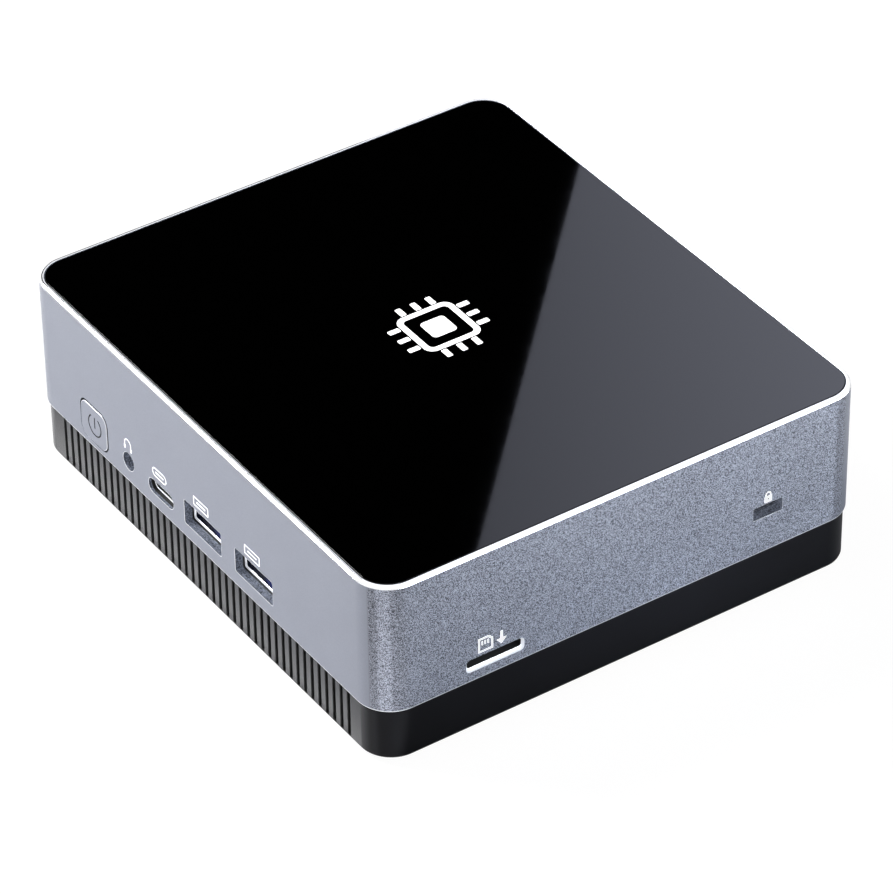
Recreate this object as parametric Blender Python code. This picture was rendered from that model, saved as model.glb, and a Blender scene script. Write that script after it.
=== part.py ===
"""A mini pc: a silver top housing with a black glass panel, standing on a ribbed black base.

Metres, +Z up. The origin is on the desk, under the middle of the case. The ports are on the
front, at -Y, and the card slot and the lock slot are on the right side, at +X.
"""

import math

import bmesh
import bpy
from mathutils import Matrix, Vector

MM = 0.001

# Case
WIDTH = 126.0 * MM
DEPTH = 112.5 * MM
CORNER_RADIUS = 7.4 * MM
FOOT_HEIGHT = 1.4 * MM
BODY_HEIGHT = 41.3 * MM
BASE_BAND = 11.6 * MM
GAP = 0.3 * MM
TOP = FOOT_HEIGHT + BODY_HEIGHT
FRONT = -DEPTH / 2
BACK = DEPTH / 2
RIGHT = WIDTH / 2

# Top housing
HOUSING_WALL = 2.2 * MM
HOUSING_LOW = FOOT_HEIGHT + BASE_BAND
DECK_LOW = TOP - 3.3 * MM
DECK_HIGH = TOP - 1.9 * MM
RIM_CHAMFER = 0.48 * MM
RIM_WIDTH = 0.9 * MM
LOWER_CHAMFER = 0.25 * MM
PANEL_INSET = 1.2 * MM
PANEL_CHAMFER = 0.1 * MM
WALL_INSIDE_FRONT = FRONT + HOUSING_WALL
WALL_INSIDE_BACK = BACK - HOUSING_WALL
WALL_INSIDE_RIGHT = RIGHT - HOUSING_WALL

# Base
BASE_INSET = 0.5 * MM
BASE_WALL_INSET = 3.7 * MM
BASE_EDGE_CHAMFER = 0.5 * MM
BASE_FLOOR = 2.0 * MM
FLOOR_TOP = FOOT_HEIGHT + BASE_FLOOR
BASE_TOP = HOUSING_LOW - GAP
LIP_INSET = HOUSING_WALL + GAP
LIP_TOP = HOUSING_LOW + 0.9 * MM
RIB_PITCH = 2.52 * MM
RIB_COUNT = 42
GROOVE_WIDTH = 0.85 * MM
GROOVE_DEPTH = 1.2 * MM
GROOVE_LOW = FOOT_HEIGHT + 0.45 * MM
WINDOW_LOW = FLOOR_TOP + 0.6 * MM
WINDOW_HIGH = BASE_TOP - 1.8 * MM
VENT_COUNT = 15
VENT_PITCH = 4.0 * MM
VENT_WIDTH = 1.8 * MM
VENT_LENGTH = 40.0 * MM

# Feet, cover screws and bracket inserts, mirrored about both middle planes
FOOT_X = 47.5 * MM
FOOT_Y = 40.5 * MM
FOOT_RADIUS = 5.6 * MM
FOOT_RECESS = 0.9 * MM
POST_X = 55.0 * MM
POST_Y = 48.2 * MM
POST_RADIUS = 3.0 * MM
BOSS_RADIUS = 4.0 * MM
BOSS_TOP = HOUSING_LOW + 1.1 * MM
COUNTERBORE_RADIUS = 3.0 * MM
COUNTERBORE_DEPTH = 5.0 * MM
INSERT_X = 42.0 * MM
INSERT_RADIUS = 2.2 * MM

# Mainboard
BOARD_LOW = HOUSING_LOW + 1.5 * MM
BOARD_HIGH = BOARD_LOW + 1.6 * MM
BOARD_SIDE = 59.0 * MM
BOARD_FRONT = -52.8 * MM
BOARD_BACK = 53.0 * MM
BOARD_NOTCH_X = 50.7 * MM
BOARD_NOTCH_Y = 43.9 * MM
ON_BOARD = BOARD_HIGH + GAP
UNDER_BOARD = BOARD_LOW - GAP
BOARD_POST_X = 55.0 * MM
BOARD_POST_Y = -14.0 * MM
BOARD_POST_RADIUS = 2.6 * MM

# Front ports and button, as centres in X and Z
PORT_FACE = WALL_INSIDE_FRONT + GAP
USB_A_X = (1.67 * MM, 19.97 * MM)
USB_A_Z = HOUSING_LOW + 6.3 * MM
USB_A_CUTOUT = (13.3 * MM, 5.7 * MM)
USB_A_SHELL = (13.1 * MM, 5.7 * MM)
USB_A_DEPTH = 14.0 * MM
USB_C_X = -13.7 * MM
USB_C_Z = HOUSING_LOW + 4.9 * MM
USB_C_CUTOUT = (9.3 * MM, 3.4 * MM)
USB_C_SHELL = (8.9 * MM, 3.2 * MM)
USB_C_DEPTH = 8.0 * MM
SHELL_SHEET = 0.3 * MM
AUDIO_X = -25.8 * MM
AUDIO_Z = HOUSING_LOW + 5.1 * MM
AUDIO_HOLE = 2.05 * MM
BUTTON_X = -38.6 * MM
BUTTON_Z = HOUSING_LOW + 6.2 * MM
BUTTON_SIZE = (10.2 * MM, 9.0 * MM)
BUTTON_RADIUS = 2.2 * MM
BUTTON_TRAVEL = 0.4 * MM
STEM_Z = BUTTON_Z - 0.6 * MM
STEM_END = -49.4 * MM

# Right side, as centres in Y and Z
CARD_Y = -30.2 * MM
CARD_Z = HOUSING_LOW + 4.4 * MM
CARD_SLOT = (12.0 * MM, 1.5 * MM)
CARD_MOUTH = 13.2 * MM
LOCK_Y = 33.2 * MM
LOCK_Z = HOUSING_LOW + 10.0 * MM
LOCK_SLOT = (7.0 * MM, 3.0 * MM)

# Rear plate and its ports, as centres in X
PLATE_HALF = 51.7 * MM
PLATE_LOW = HOUSING_LOW + 2.0 * MM
PLATE_HIGH = TOP - 4.3 * MM
PLATE_OUTSIDE = BACK - 0.25 * MM
PLATE_INSIDE = BACK - 3.35 * MM
REAR_PORT_FACE = PLATE_OUTSIDE - GAP
DC_X = 43.5 * MM
HDMI_X = (26.0 * MM, -43.2 * MM)
REAR_USB_X = (9.0 * MM, -7.5 * MM)
LAN_X = -25.5 * MM
DC_BODY = (9.6 * MM, 11.0 * MM)
HDMI_BODY = (14.8 * MM, 5.6 * MM)
LAN_BODY = (16.0 * MM, 13.5 * MM)
GRILLE_COUNT = 20
GRILLE_PITCH = 4.3 * MM
GRILLE_SLOT = (2.3 * MM, 4.4 * MM)
GRILLE_Z = TOP - 7.1 * MM

# Cooling
PROCESSOR_Y = -8.0 * MM
PROCESSOR_TOP = ON_BOARD + 1.7 * MM
COLD_PLATE_HIGH = PROCESSOR_TOP + GAP + 1.5 * MM
PIPE_RADIUS = 2.0 * MM
PIPE_Z = COLD_PLATE_HIGH + GAP + PIPE_RADIUS
DUCT_LOW = PIPE_Z + PIPE_RADIUS + GAP
FAN_X = -3.0 * MM
FAN_Y = -15.0 * MM
FAN_FLOOR = DUCT_LOW + 1.0 * MM
FAN_WALL_TOP = DUCT_LOW + 11.5 * MM
HUB_RADIUS = 10.5 * MM
BLADE_TIP = 24.5 * MM
BLADE_COUNT = 19
FIN_COUNT = 19
FIN_PITCH = 3.0 * MM

# Roundness of the solids
CORNER_STEPS = 8
SMALL_STEPS = 3
ROUND_SIDES = 20
SMALL_SIDES = 12
SMOOTH_ANGLE = math.radians(35)


# Outlines, as points in a plane, anticlockwise


def rounded_outline(width, height, radius, steps=SMALL_STEPS):
    """A rectangle with round corners, centred on (0, 0)."""
    points = []
    for corner, (side_u, side_v) in enumerate(((1, 1), (-1, 1), (-1, -1), (1, -1))):
        for step in range(steps + 1):
            angle = math.pi / 2 * (corner + step / steps)
            u = side_u * (width / 2 - radius) + radius * math.cos(angle)
            v = side_v * (height / 2 - radius) + radius * math.sin(angle)
            points.append((u, v))
    return points


def rectangle_outline(width, height):
    """A plain rectangle, centred on (0, 0)."""
    u = width / 2
    v = height / 2
    return [(u, v), (-u, v), (-u, -v), (u, -v)]


def circle_outline(radius, sides=ROUND_SIDES):
    """A regular polygon that stands for a circle, centred on (0, 0)."""
    turns = [2 * math.pi * side / sides for side in range(sides)]
    return [(radius * math.cos(turn), radius * math.sin(turn)) for turn in turns]


def case_outline(inset):
    """The plan of the case, moved in from its outermost line."""
    width = WIDTH - 2 * inset
    depth = DEPTH - 2 * inset
    return rounded_outline(width, depth, CORNER_RADIUS - inset, CORNER_STEPS)


def hdmi_outline(width, height):
    """A flat socket whose two lower corners slope in."""
    u = width / 2
    v = height / 2
    slope_low = u - 2.0 * MM
    slope_high = v - 3.0 * MM
    return [(u, v), (-u, v), (-u, slope_high), (-slope_low, -v), (slope_low, -v), (u, slope_high)]


def on_plane(outline, axis, level, centre=(0.0, 0.0)):
    """The outline's points in space, on the plane across the axis at that level."""
    u, v = centre
    if axis == "X":
        return [(level, u + a, v + b) for a, b in outline]
    if axis == "Y":
        return [(u + a, level, v + b) for a, b in outline]
    return [(u + a, v + b, level) for a, b in outline]


# Solids


def add_object(name, shape):
    """An object for a finished bmesh, with its origin in the middle of it."""
    bmesh.ops.recalc_face_normals(shape, faces=shape.faces)
    corners = [vert.co.copy() for vert in shape.verts]
    low = Vector(min(co[i] for co in corners) for i in range(3))
    high = Vector(max(co[i] for co in corners) for i in range(3))
    middle = (low + high) / 2
    bmesh.ops.translate(shape, verts=shape.verts, vec=-middle)
    mesh = bpy.data.meshes.new(name)
    shape.to_mesh(mesh)
    shape.free()
    piece = bpy.data.objects.new(name, mesh)
    piece.location = middle
    bpy.context.scene.collection.objects.link(piece)
    return piece


def move_origin(piece, point):
    """Puts a piece's origin on a point, such as one on its joint's axis, and leaves its shape in place."""
    shift = piece.location - Vector(point)
    piece.data.transform(Matrix.Translation(shift))
    piece.location = point


def add_skin(shape, rings):
    """Adds a closed skin to a bmesh: rings of points joined in turn, with a cap on each end."""
    loops = [[shape.verts.new(point) for point in ring] for ring in rings]
    for lower, upper in zip(loops, loops[1:]):
        for i in range(len(lower)):
            j = (i + 1) % len(lower)
            shape.faces.new((lower[i], lower[j], upper[j], upper[i]))
    shape.faces.new(loops[0])
    shape.faces.new(loops[-1])


def loft(name, rings):
    """A solid through rings of points."""
    shape = bmesh.new()
    add_skin(shape, rings)
    return add_object(name, shape)


def prism(name, outline, axis, start, end, centre=(0.0, 0.0)):
    """An outline extruded along an axis."""
    return loft(name, [on_plane(outline, axis, level, centre) for level in (start, end)])


def prisms(name, outline, axis, start, end, centres):
    """One object of several prisms that stand clear of each other, to cut with."""
    shape = bmesh.new()
    for centre in centres:
        add_skin(shape, [on_plane(outline, axis, level, centre) for level in (start, end)])
    return add_object(name, shape)


def block(name, low, high):
    """A box between two corners."""
    outline = rectangle_outline(high[0] - low[0], high[1] - low[1])
    centre = ((low[0] + high[0]) / 2, (low[1] + high[1]) / 2)
    return prism(name, outline, "Z", low[2], high[2], centre)


def rod(name, axis, centre, start, end, radius, sides=ROUND_SIDES):
    """A round bar along an axis."""
    return prism(name, circle_outline(radius, sides), axis, start, end, centre)


def turned(name, centre, profile, sides=ROUND_SIDES):
    """A solid turned about an upright axis, from its heights and radii, bottom to top."""
    return loft(name, [on_plane(circle_outline(r, sides), "Z", z, centre) for z, r in profile])


def plan_solid(name, profile):
    """A solid with the plan of the case, from its heights and insets, bottom to top."""
    return loft(name, [on_plane(case_outline(inset), "Z", z) for z, inset in profile])


def combine(piece, operation, tools):
    """Boolean modifiers on a piece. The tools stay as hidden wires."""
    for tool in tools:
        modifier = piece.modifiers.new(tool.name, "BOOLEAN")
        modifier.operation = operation
        modifier.solver = "EXACT"
        modifier.object = tool
        tool.hide_render = True
        tool.display_type = "WIRE"


def cut(piece, *tools):
    """Takes the tools' shapes away from a piece."""
    combine(piece, "DIFFERENCE", tools)


def fuse(piece, *tools):
    """Joins the tools' shapes to a piece, as one body."""
    combine(piece, "UNION", tools)


def four_corners(x, y):
    """The four places of something that is mirrored about both middle planes."""
    return [(x, -y), (-x, -y), (x, y), (-x, y)]


# Materials


def material(name, colour, roughness, metallic):
    """A Principled material, made the first time it is asked for."""
    known = bpy.data.materials.get(name)
    if known:
        return known
    made = bpy.data.materials.new(name)
    made.use_nodes = True
    made.diffuse_color = (*colour, 1.0)
    shader = made.node_tree.nodes["Principled BSDF"]
    shader.inputs["Base Color"].default_value = (*colour, 1.0)
    shader.inputs["Roughness"].default_value = roughness
    shader.inputs["Metallic"].default_value = metallic
    return made


def anodised_silver():
    return material("anodised_silver", (0.42, 0.44, 0.50), 0.38, 0.9)


def black_glass():
    return material("black_glass", (0.004, 0.004, 0.005), 0.04, 0.0)


def black_plastic():
    return material("black_plastic", (0.012, 0.012, 0.013), 0.35, 0.0)


def black_rubber():
    return material("black_rubber", (0.02, 0.02, 0.02), 0.8, 0.0)


def blackened_steel():
    return material("blackened_steel", (0.03, 0.03, 0.03), 0.45, 0.9)


def plated_steel():
    return material("plated_steel", (0.72, 0.72, 0.74), 0.28, 1.0)


def blue_insulator():
    return material("blue_insulator", (0.01, 0.03, 0.25), 0.45, 0.0)


def black_insulator():
    return material("black_insulator", (0.015, 0.015, 0.016), 0.5, 0.0)


def circuit_board():
    return material("circuit_board", (0.01, 0.05, 0.03), 0.45, 0.0)


def processor_package():
    return material("processor_package", (0.03, 0.10, 0.07), 0.4, 0.0)


def copper():
    return material("copper", (0.72, 0.33, 0.18), 0.3, 1.0)


def bare_aluminium():
    return material("bare_aluminium", (0.76, 0.77, 0.78), 0.35, 1.0)


def brass():
    return material("brass", (0.74, 0.56, 0.25), 0.35, 1.0)


def finish(piece, look):
    """Gives a piece its material, smooth round faces, and its place under the case's empty."""
    piece.data.materials.append(look)
    if piece.type == "MESH":
        piece.data.shade_smooth()
        piece.data.set_sharp_from_angle(angle=SMOOTH_ANGLE)
    piece.parent = bpy.data.objects["mini_pc"]
    return piece


# Case


def front_cutouts():
    """Tools for the openings in the housing's front wall."""
    start = FRONT - 1 * MM
    end = WALL_INSIDE_FRONT + 1 * MM
    button_hole = rounded_outline(
        BUTTON_SIZE[0] + 2 * GAP, BUTTON_SIZE[1] + 2 * GAP, BUTTON_RADIUS + GAP
    )
    usb_hole = rounded_outline(*USB_A_CUTOUT, 0.5 * MM)
    usb_c_hole = rounded_outline(*USB_C_CUTOUT, USB_C_CUTOUT[1] / 2 - 0.01 * MM)
    return [
        prism("cut_button", button_hole, "Y", start, end, (BUTTON_X, BUTTON_Z)),
        rod("cut_audio", "Y", (AUDIO_X, AUDIO_Z), start, end, AUDIO_HOLE),
        prism("cut_usb_c", usb_c_hole, "Y", start, end, (USB_C_X, USB_C_Z)),
        prisms("cut_usb_a", usb_hole, "Y", start, end, [(x, USB_A_Z) for x in USB_A_X]),
    ]


def side_cutouts():
    """Tools for the card slot, its sloping mouth, and the lock slot in the right wall."""
    start = WALL_INSIDE_RIGHT - 1 * MM
    end = RIGHT + 1 * MM
    card_hole = rounded_outline(*CARD_SLOT, 0.3 * MM)
    lock_hole = rounded_outline(*LOCK_SLOT, 0.6 * MM)
    mouth_depth = 1.2 * MM
    mouth_top = CARD_Z + CARD_SLOT[1] / 2 + 0.1 * MM
    mouth_sill = CARD_Z - CARD_SLOT[1] / 2 - 0.1 * MM
    mouth_low = mouth_sill - 1.3 * MM
    mouth_profile = [
        (RIGHT + mouth_depth, mouth_top),
        (RIGHT - mouth_depth, mouth_top),
        (RIGHT - mouth_depth, mouth_sill),
        (RIGHT + mouth_depth, mouth_low - (mouth_sill - mouth_low)),
    ]
    mouth_start = CARD_Y - CARD_MOUTH / 2
    return [
        prism("cut_card_slot", card_hole, "X", start, end, (CARD_Y, CARD_Z)),
        prism("cut_card_mouth", mouth_profile, "Y", mouth_start, mouth_start + CARD_MOUTH),
        prism("cut_lock_slot", lock_hole, "X", start, end, (LOCK_Y, LOCK_Z)),
    ]


def housing_posts():
    """Posts that hang from the deck: four take the cover screws and two the board screws."""
    root = DECK_LOW + 0.7 * MM
    corner_post = circle_outline(POST_RADIUS, ROUND_SIDES)
    board_post = circle_outline(BOARD_POST_RADIUS, ROUND_SIDES)
    return [
        prisms(
            "corner_posts", corner_post, "Z", BOSS_TOP + GAP, root, four_corners(POST_X, POST_Y)
        ),
        prisms("board_posts", board_post, "Z", ON_BOARD, root, board_post_places()),
    ]


def board_post_places():
    return [(BOARD_POST_X, BOARD_POST_Y), (-BOARD_POST_X, BOARD_POST_Y)]


def pilot_holes():
    """Tools for the screw holes in the posts."""
    cover_pilot = circle_outline(1.6 * MM, SMALL_SIDES)
    board_pilot = circle_outline(1.3 * MM, SMALL_SIDES)
    depth = 10 * MM
    start = BOSS_TOP - 1 * MM
    return [
        prisms(
            "cut_cover_pilots", cover_pilot, "Z", start, start + depth, four_corners(POST_X, POST_Y)
        ),
        prisms(
            "cut_board_pilots", board_pilot, "Z", start, start + depth, board_post_places()
        ),
    ]


def make_top_housing():
    """The one-piece aluminium housing: four walls, a deck, and a rim that holds the glass."""
    housing = plan_solid(
        "top_housing",
        [
            (HOUSING_LOW, LOWER_CHAMFER),
            (HOUSING_LOW + LOWER_CHAMFER, 0.0),
            (TOP - RIM_CHAMFER, 0.0),
            (TOP, RIM_CHAMFER),
        ],
    )
    hollow = plan_solid(
        "cut_hollow", [(HOUSING_LOW - 1 * MM, HOUSING_WALL), (DECK_LOW, HOUSING_WALL)]
    )
    recess = plan_solid("cut_recess", [(DECK_HIGH, RIM_WIDTH), (TOP + 1 * MM, RIM_WIDTH)])
    window_outline = rounded_outline(
        2 * (PLATE_HALF + GAP), PLATE_HIGH - PLATE_LOW + 2 * GAP, 1.5 * MM
    )
    window = prism(
        "cut_window",
        window_outline,
        "Y",
        WALL_INSIDE_BACK - 1 * MM,
        BACK + 1 * MM,
        (0.0, (PLATE_LOW + PLATE_HIGH) / 2),
    )
    cut(housing, hollow, recess, window, *front_cutouts(), *side_cutouts())
    fuse(housing, *housing_posts())
    cut(housing, *pilot_holes())
    finish(housing, anodised_silver())


def make_top_panel():
    """The black glass plate that lies in the housing's rim."""
    panel = plan_solid(
        "top_panel",
        [
            (DECK_HIGH + GAP, PANEL_INSET),
            (TOP - PANEL_CHAMFER, PANEL_INSET),
            (TOP, PANEL_INSET + PANEL_CHAMFER),
        ],
    )
    finish(panel, black_glass())


def groove_tool():
    """Grooves in the base's front, from near its lower edge up, each with a window through the wall."""
    outer = FRONT - 1 * MM
    floor = FRONT + BASE_INSET + GROOVE_DEPTH
    inner = FRONT + BASE_WALL_INSET + 1 * MM
    high = BASE_TOP + 0.15 * MM
    profile = [
        (outer, GROOVE_LOW),
        (floor, GROOVE_LOW),
        (floor, WINDOW_LOW),
        (inner, WINDOW_LOW),
        (inner, WINDOW_HIGH),
        (floor, WINDOW_HIGH),
        (floor, high),
        (outer, high),
    ]
    shape = bmesh.new()
    first = -RIB_PITCH * (RIB_COUNT - 1) / 2
    for groove in range(RIB_COUNT):
        left = first + RIB_PITCH * groove - GROOVE_WIDTH / 2
        add_skin(shape, [on_plane(profile, "X", x) for x in (left, left + GROOVE_WIDTH)])
    return add_object("cut_grooves", shape)


def make_bottom_cover():
    """The black base: ribbed at the front, with a lip that fits inside the housing."""
    cover = plan_solid(
        "bottom_cover",
        [
            (FOOT_HEIGHT, BASE_INSET + BASE_EDGE_CHAMFER),
            (FOOT_HEIGHT + BASE_EDGE_CHAMFER, BASE_INSET),
            (BASE_TOP, BASE_INSET),
            (BASE_TOP, LIP_INSET),
            (LIP_TOP, LIP_INSET),
        ],
    )
    hollow = plan_solid(
        "cut_base_hollow", [(FLOOR_TOP, BASE_WALL_INSET), (LIP_TOP + 1 * MM, BASE_WALL_INSET)]
    )
    corners = four_corners(POST_X, POST_Y)
    inserts = [(INSERT_X, 0.0), (-INSERT_X, 0.0)]
    below = FOOT_HEIGHT - 1 * MM
    boss = circle_outline(BOSS_RADIUS)
    bosses = prisms("screw_bosses", boss, "Z", FLOOR_TOP - 1 * MM, BOSS_TOP, corners)
    insert_top = FLOOR_TOP + 5 * MM
    insert_bosses = prisms("insert_bosses", boss, "Z", FLOOR_TOP - 1 * MM, insert_top, inserts)
    counterbores = prisms(
        "cut_counterbores",
        circle_outline(COUNTERBORE_RADIUS),
        "Z",
        below,
        FOOT_HEIGHT + COUNTERBORE_DEPTH,
        corners,
    )
    screw_hole = circle_outline(1.6 * MM, SMALL_SIDES)
    screw_holes = prisms("cut_screw_holes", screw_hole, "Z", below, BOSS_TOP + 1 * MM, corners)
    insert_hole = circle_outline(INSERT_RADIUS + GAP)
    insert_holes = prisms("cut_insert_holes", insert_hole, "Z", below, insert_top + 1 * MM, inserts)
    foot_recess = circle_outline(FOOT_RADIUS + GAP)
    foot_recesses = prisms(
        "cut_foot_recesses",
        foot_recess,
        "Z",
        below,
        FOOT_HEIGHT + FOOT_RECESS,
        four_corners(FOOT_X, FOOT_Y),
    )
    vent = rounded_outline(VENT_WIDTH, VENT_LENGTH, VENT_WIDTH / 2 - 0.01 * MM, 2)
    vent_first = -VENT_PITCH * (VENT_COUNT - 1) / 2
    vent_places = [(vent_first + VENT_PITCH * i, 0.0) for i in range(VENT_COUNT)]
    vents = prisms("cut_vents", vent, "Z", below, FLOOR_TOP + 1 * MM, vent_places)
    cut(cover, hollow)
    fuse(cover, bosses, insert_bosses)
    cut(cover, counterbores, screw_holes, insert_holes, foot_recesses, vents, groove_tool())
    finish(cover, black_plastic())


def make_feet():
    """Four rubber feet in shallow recesses."""
    for number, centre in enumerate(four_corners(FOOT_X, FOOT_Y), 1):
        top = FOOT_HEIGHT + FOOT_RECESS - GAP
        edge = 0.5 * MM
        profile = [(0.0, FOOT_RADIUS - edge), (edge, FOOT_RADIUS), (top, FOOT_RADIUS)]
        finish(turned(f"foot_{number}", centre, profile), black_rubber())


def make_cover_screws():
    """Four screws that hold the base to the housing's corner posts."""
    head_high = FOOT_HEIGHT + COUNTERBORE_DEPTH - GAP
    head_low = head_high - 1.6 * MM
    shank = 1.25 * MM
    shank_end = BOSS_TOP + 7 * MM
    profile = [(head_low, 2.6 * MM), (head_high, 2.6 * MM), (head_high, shank), (shank_end, shank)]
    for number, centre in enumerate(four_corners(POST_X, POST_Y), 1):
        screw = turned(f"cover_screw_{number}", centre, profile, SMALL_SIDES)
        key = circle_outline(1.1 * MM, 6)
        socket = prism(
            f"cut_key_{number}", key, "Z", head_low - 1 * MM, head_low + 0.9 * MM, centre
        )
        cut(screw, socket)
        finish(screw, blackened_steel())


def make_bracket_inserts():
    """Two brass threaded inserts in the underside, for a wall or monitor bracket."""
    low = FOOT_HEIGHT + 0.4 * MM
    high = FLOOR_TOP + 4.7 * MM
    for number, x in enumerate((INSERT_X, -INSERT_X), 1):
        insert = rod(f"bracket_insert_{number}", "Z", (x, 0.0), low, high, INSERT_RADIUS)
        bore = rod(
            f"cut_insert_bore_{number}",
            "Z",
            (x, 0.0),
            low - 1 * MM,
            high + 1 * MM,
            1.65 * MM,
            SMALL_SIDES,
        )
        cut(insert, bore)
        finish(insert, brass())


def rear_port_cutouts():
    """Tools for the rear plate: one opening for each connector, and the exhaust grille."""
    start = PLATE_INSIDE - 1 * MM
    end = PLATE_OUTSIDE + 1 * MM
    slack = 2 * GAP
    usb = rounded_outline(USB_A_SHELL[0] + slack, USB_A_SHELL[1] + slack, 0.5 * MM)
    hdmi = hdmi_outline(HDMI_BODY[0] + slack, HDMI_BODY[1] + slack)
    dc = rectangle_outline(DC_BODY[0] + slack, DC_BODY[1] + slack)
    lan = rectangle_outline(LAN_BODY[0] + slack, LAN_BODY[1] + slack)
    slot = rounded_outline(*GRILLE_SLOT, GRILLE_SLOT[0] / 2 - 0.01 * MM, 2)
    first = -GRILLE_PITCH * (GRILLE_COUNT - 1) / 2
    grille = [(first + GRILLE_PITCH * i, GRILLE_Z) for i in range(GRILLE_COUNT)]
    usb_places = [(x, port_z(USB_A_SHELL)) for x in REAR_USB_X]
    hdmi_places = [(x, port_z(HDMI_BODY)) for x in HDMI_X]
    return [
        prisms("cut_rear_usb", usb, "Y", start, end, usb_places),
        prisms("cut_hdmi", hdmi, "Y", start, end, hdmi_places),
        prism("cut_dc", dc, "Y", start, end, (DC_X, port_z(DC_BODY))),
        prism("cut_lan", lan, "Y", start, end, (LAN_X, port_z(LAN_BODY))),
        prisms("cut_grille", slot, "Y", start, end, grille),
    ]


def port_z(body):
    """The middle height of a rear connector that stands on the board."""
    return ON_BOARD + 0.4 * MM + body[1] / 2


def make_rear_plate():
    """The black plate behind the rear ports, flanged inside the housing's window."""
    face = rounded_outline(2 * PLATE_HALF, PLATE_HIGH - PLATE_LOW, 1.2 * MM)
    centre = (0.0, (PLATE_LOW + PLATE_HIGH) / 2)
    plate = prism("rear_plate", face, "Y", PLATE_INSIDE + 0.4 * MM, PLATE_OUTSIDE, centre)
    flange_half = PLATE_HALF + 1.7 * MM
    flange = block(
        "rear_plate_flange",
        (-flange_half, PLATE_INSIDE, ON_BOARD + 0.05 * MM),
        (flange_half, WALL_INSIDE_BACK - GAP, DECK_LOW - GAP),
    )
    fuse(plate, flange)
    cut(plate, *rear_port_cutouts())
    finish(plate, black_plastic())


# Button and switch


def make_power_button():
    """The flush button, its flange behind the wall, and the stem that meets the switch."""
    face = rounded_outline(*BUTTON_SIZE, BUTTON_RADIUS)
    cap_back = BOARD_FRONT - BUTTON_TRAVEL - GAP
    button = prism("power_button", face, "Y", FRONT, cap_back, (BUTTON_X, BUTTON_Z))
    flange_half = BUTTON_SIZE[0] / 2 + 1.1 * MM
    flange = block(
        "button_flange",
        (BUTTON_X - flange_half, WALL_INSIDE_FRONT + GAP, ON_BOARD + 0.1 * MM),
        (BUTTON_X + flange_half, BOARD_FRONT - 0.1 * MM, BUTTON_Z + BUTTON_SIZE[1] / 2 + 1 * MM),
    )
    stem = rod(
        "button_stem", "Y", (BUTTON_X, STEM_Z), BOARD_FRONT - 0.5 * MM, STEM_END, 1.5 * MM, SMALL_SIDES
    )
    fuse(button, flange, stem)
    move_origin(button, (BUTTON_X, FRONT, BUTTON_Z))
    finish(button, anodised_silver())


def make_power_switch():
    """The side-push switch on the board, and its plunger, which the button's stem pushes."""
    front = STEM_END + GAP + 0.9 * MM
    back = front + 3.6 * MM
    half = 3.0 * MM
    body = block(
        "switch_body",
        (BUTTON_X - half, front, ON_BOARD),
        (BUTTON_X + half, back, ON_BOARD + 4.4 * MM),
    )
    plunger_size = (2.6 * MM, 1.4 * MM)
    well_outline = rectangle_outline(plunger_size[0] + 2 * GAP, plunger_size[1] + 2 * GAP)
    well = prism(
        "cut_switch_well", well_outline, "Y", front - 1 * MM, front + 2.4 * MM, (BUTTON_X, STEM_Z)
    )
    cut(body, well)
    plunger_start = STEM_END + GAP
    plunger = prism(
        "switch_plunger",
        rectangle_outline(*plunger_size),
        "Y",
        plunger_start,
        front + 1.6 * MM,
        (BUTTON_X, STEM_Z),
    )
    move_origin(plunger, (BUTTON_X, plunger_start, STEM_Z))
    finish(body, plated_steel())
    finish(plunger, black_insulator())


# Connectors


def socket_shell(name, outline, hollow_outline, centre, face, depth, look):
    """A connector's metal shell, open at its face and closed at its back. Depth is signed, along Y."""
    inward = math.copysign(1.0, depth)
    shell = prism(name, outline, "Y", face, face + depth, centre)
    start = face - inward * 1 * MM
    end = face + depth - inward * 0.5 * MM
    cut(shell, prism(f"cut_{name}", hollow_outline, "Y", start, end, centre))
    finish(shell, look)


def usb_a_port(name, x, z, face, depth):
    """A full-size port: a folded steel shell, and an insulator with its tongue."""
    inward = math.copysign(1.0, depth)
    inner = (USB_A_SHELL[0] - 2 * SHELL_SHEET, USB_A_SHELL[1] - 2 * SHELL_SHEET)
    outline = rounded_outline(*USB_A_SHELL, 0.6 * MM, 2)
    hollow = rounded_outline(*inner, 0.3 * MM, 2)
    socket_shell(f"{name}_shell", outline, hollow, (x, z), face, depth, plated_steel())
    block_outline = rectangle_outline(inner[0] - 2 * GAP, inner[1] - 2 * GAP)
    back = face + depth - inward * (0.5 * MM + GAP)
    core = prism(f"{name}_core", block_outline, "Y", back - inward * 3.5 * MM, back, (x, z))
    tongue = prism(
        f"{name}_tongue",
        rectangle_outline(11.1 * MM, 1.84 * MM),
        "Y",
        face + inward * 1.2 * MM,
        back - inward * 1.5 * MM,
        (x, z + 1.1 * MM),
    )
    fuse(core, tongue)
    finish(core, blue_insulator())


def make_front_usb_a():
    for number, x in enumerate(USB_A_X, 1):
        usb_a_port(f"usb_a_front_{number}", x, USB_A_Z, PORT_FACE, USB_A_DEPTH)


def make_rear_usb_a():
    for number, x in enumerate(REAR_USB_X, 1):
        usb_a_port(
            f"usb_a_rear_{number}", x, port_z(USB_A_SHELL), REAR_PORT_FACE, -USB_A_DEPTH
        )


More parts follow.
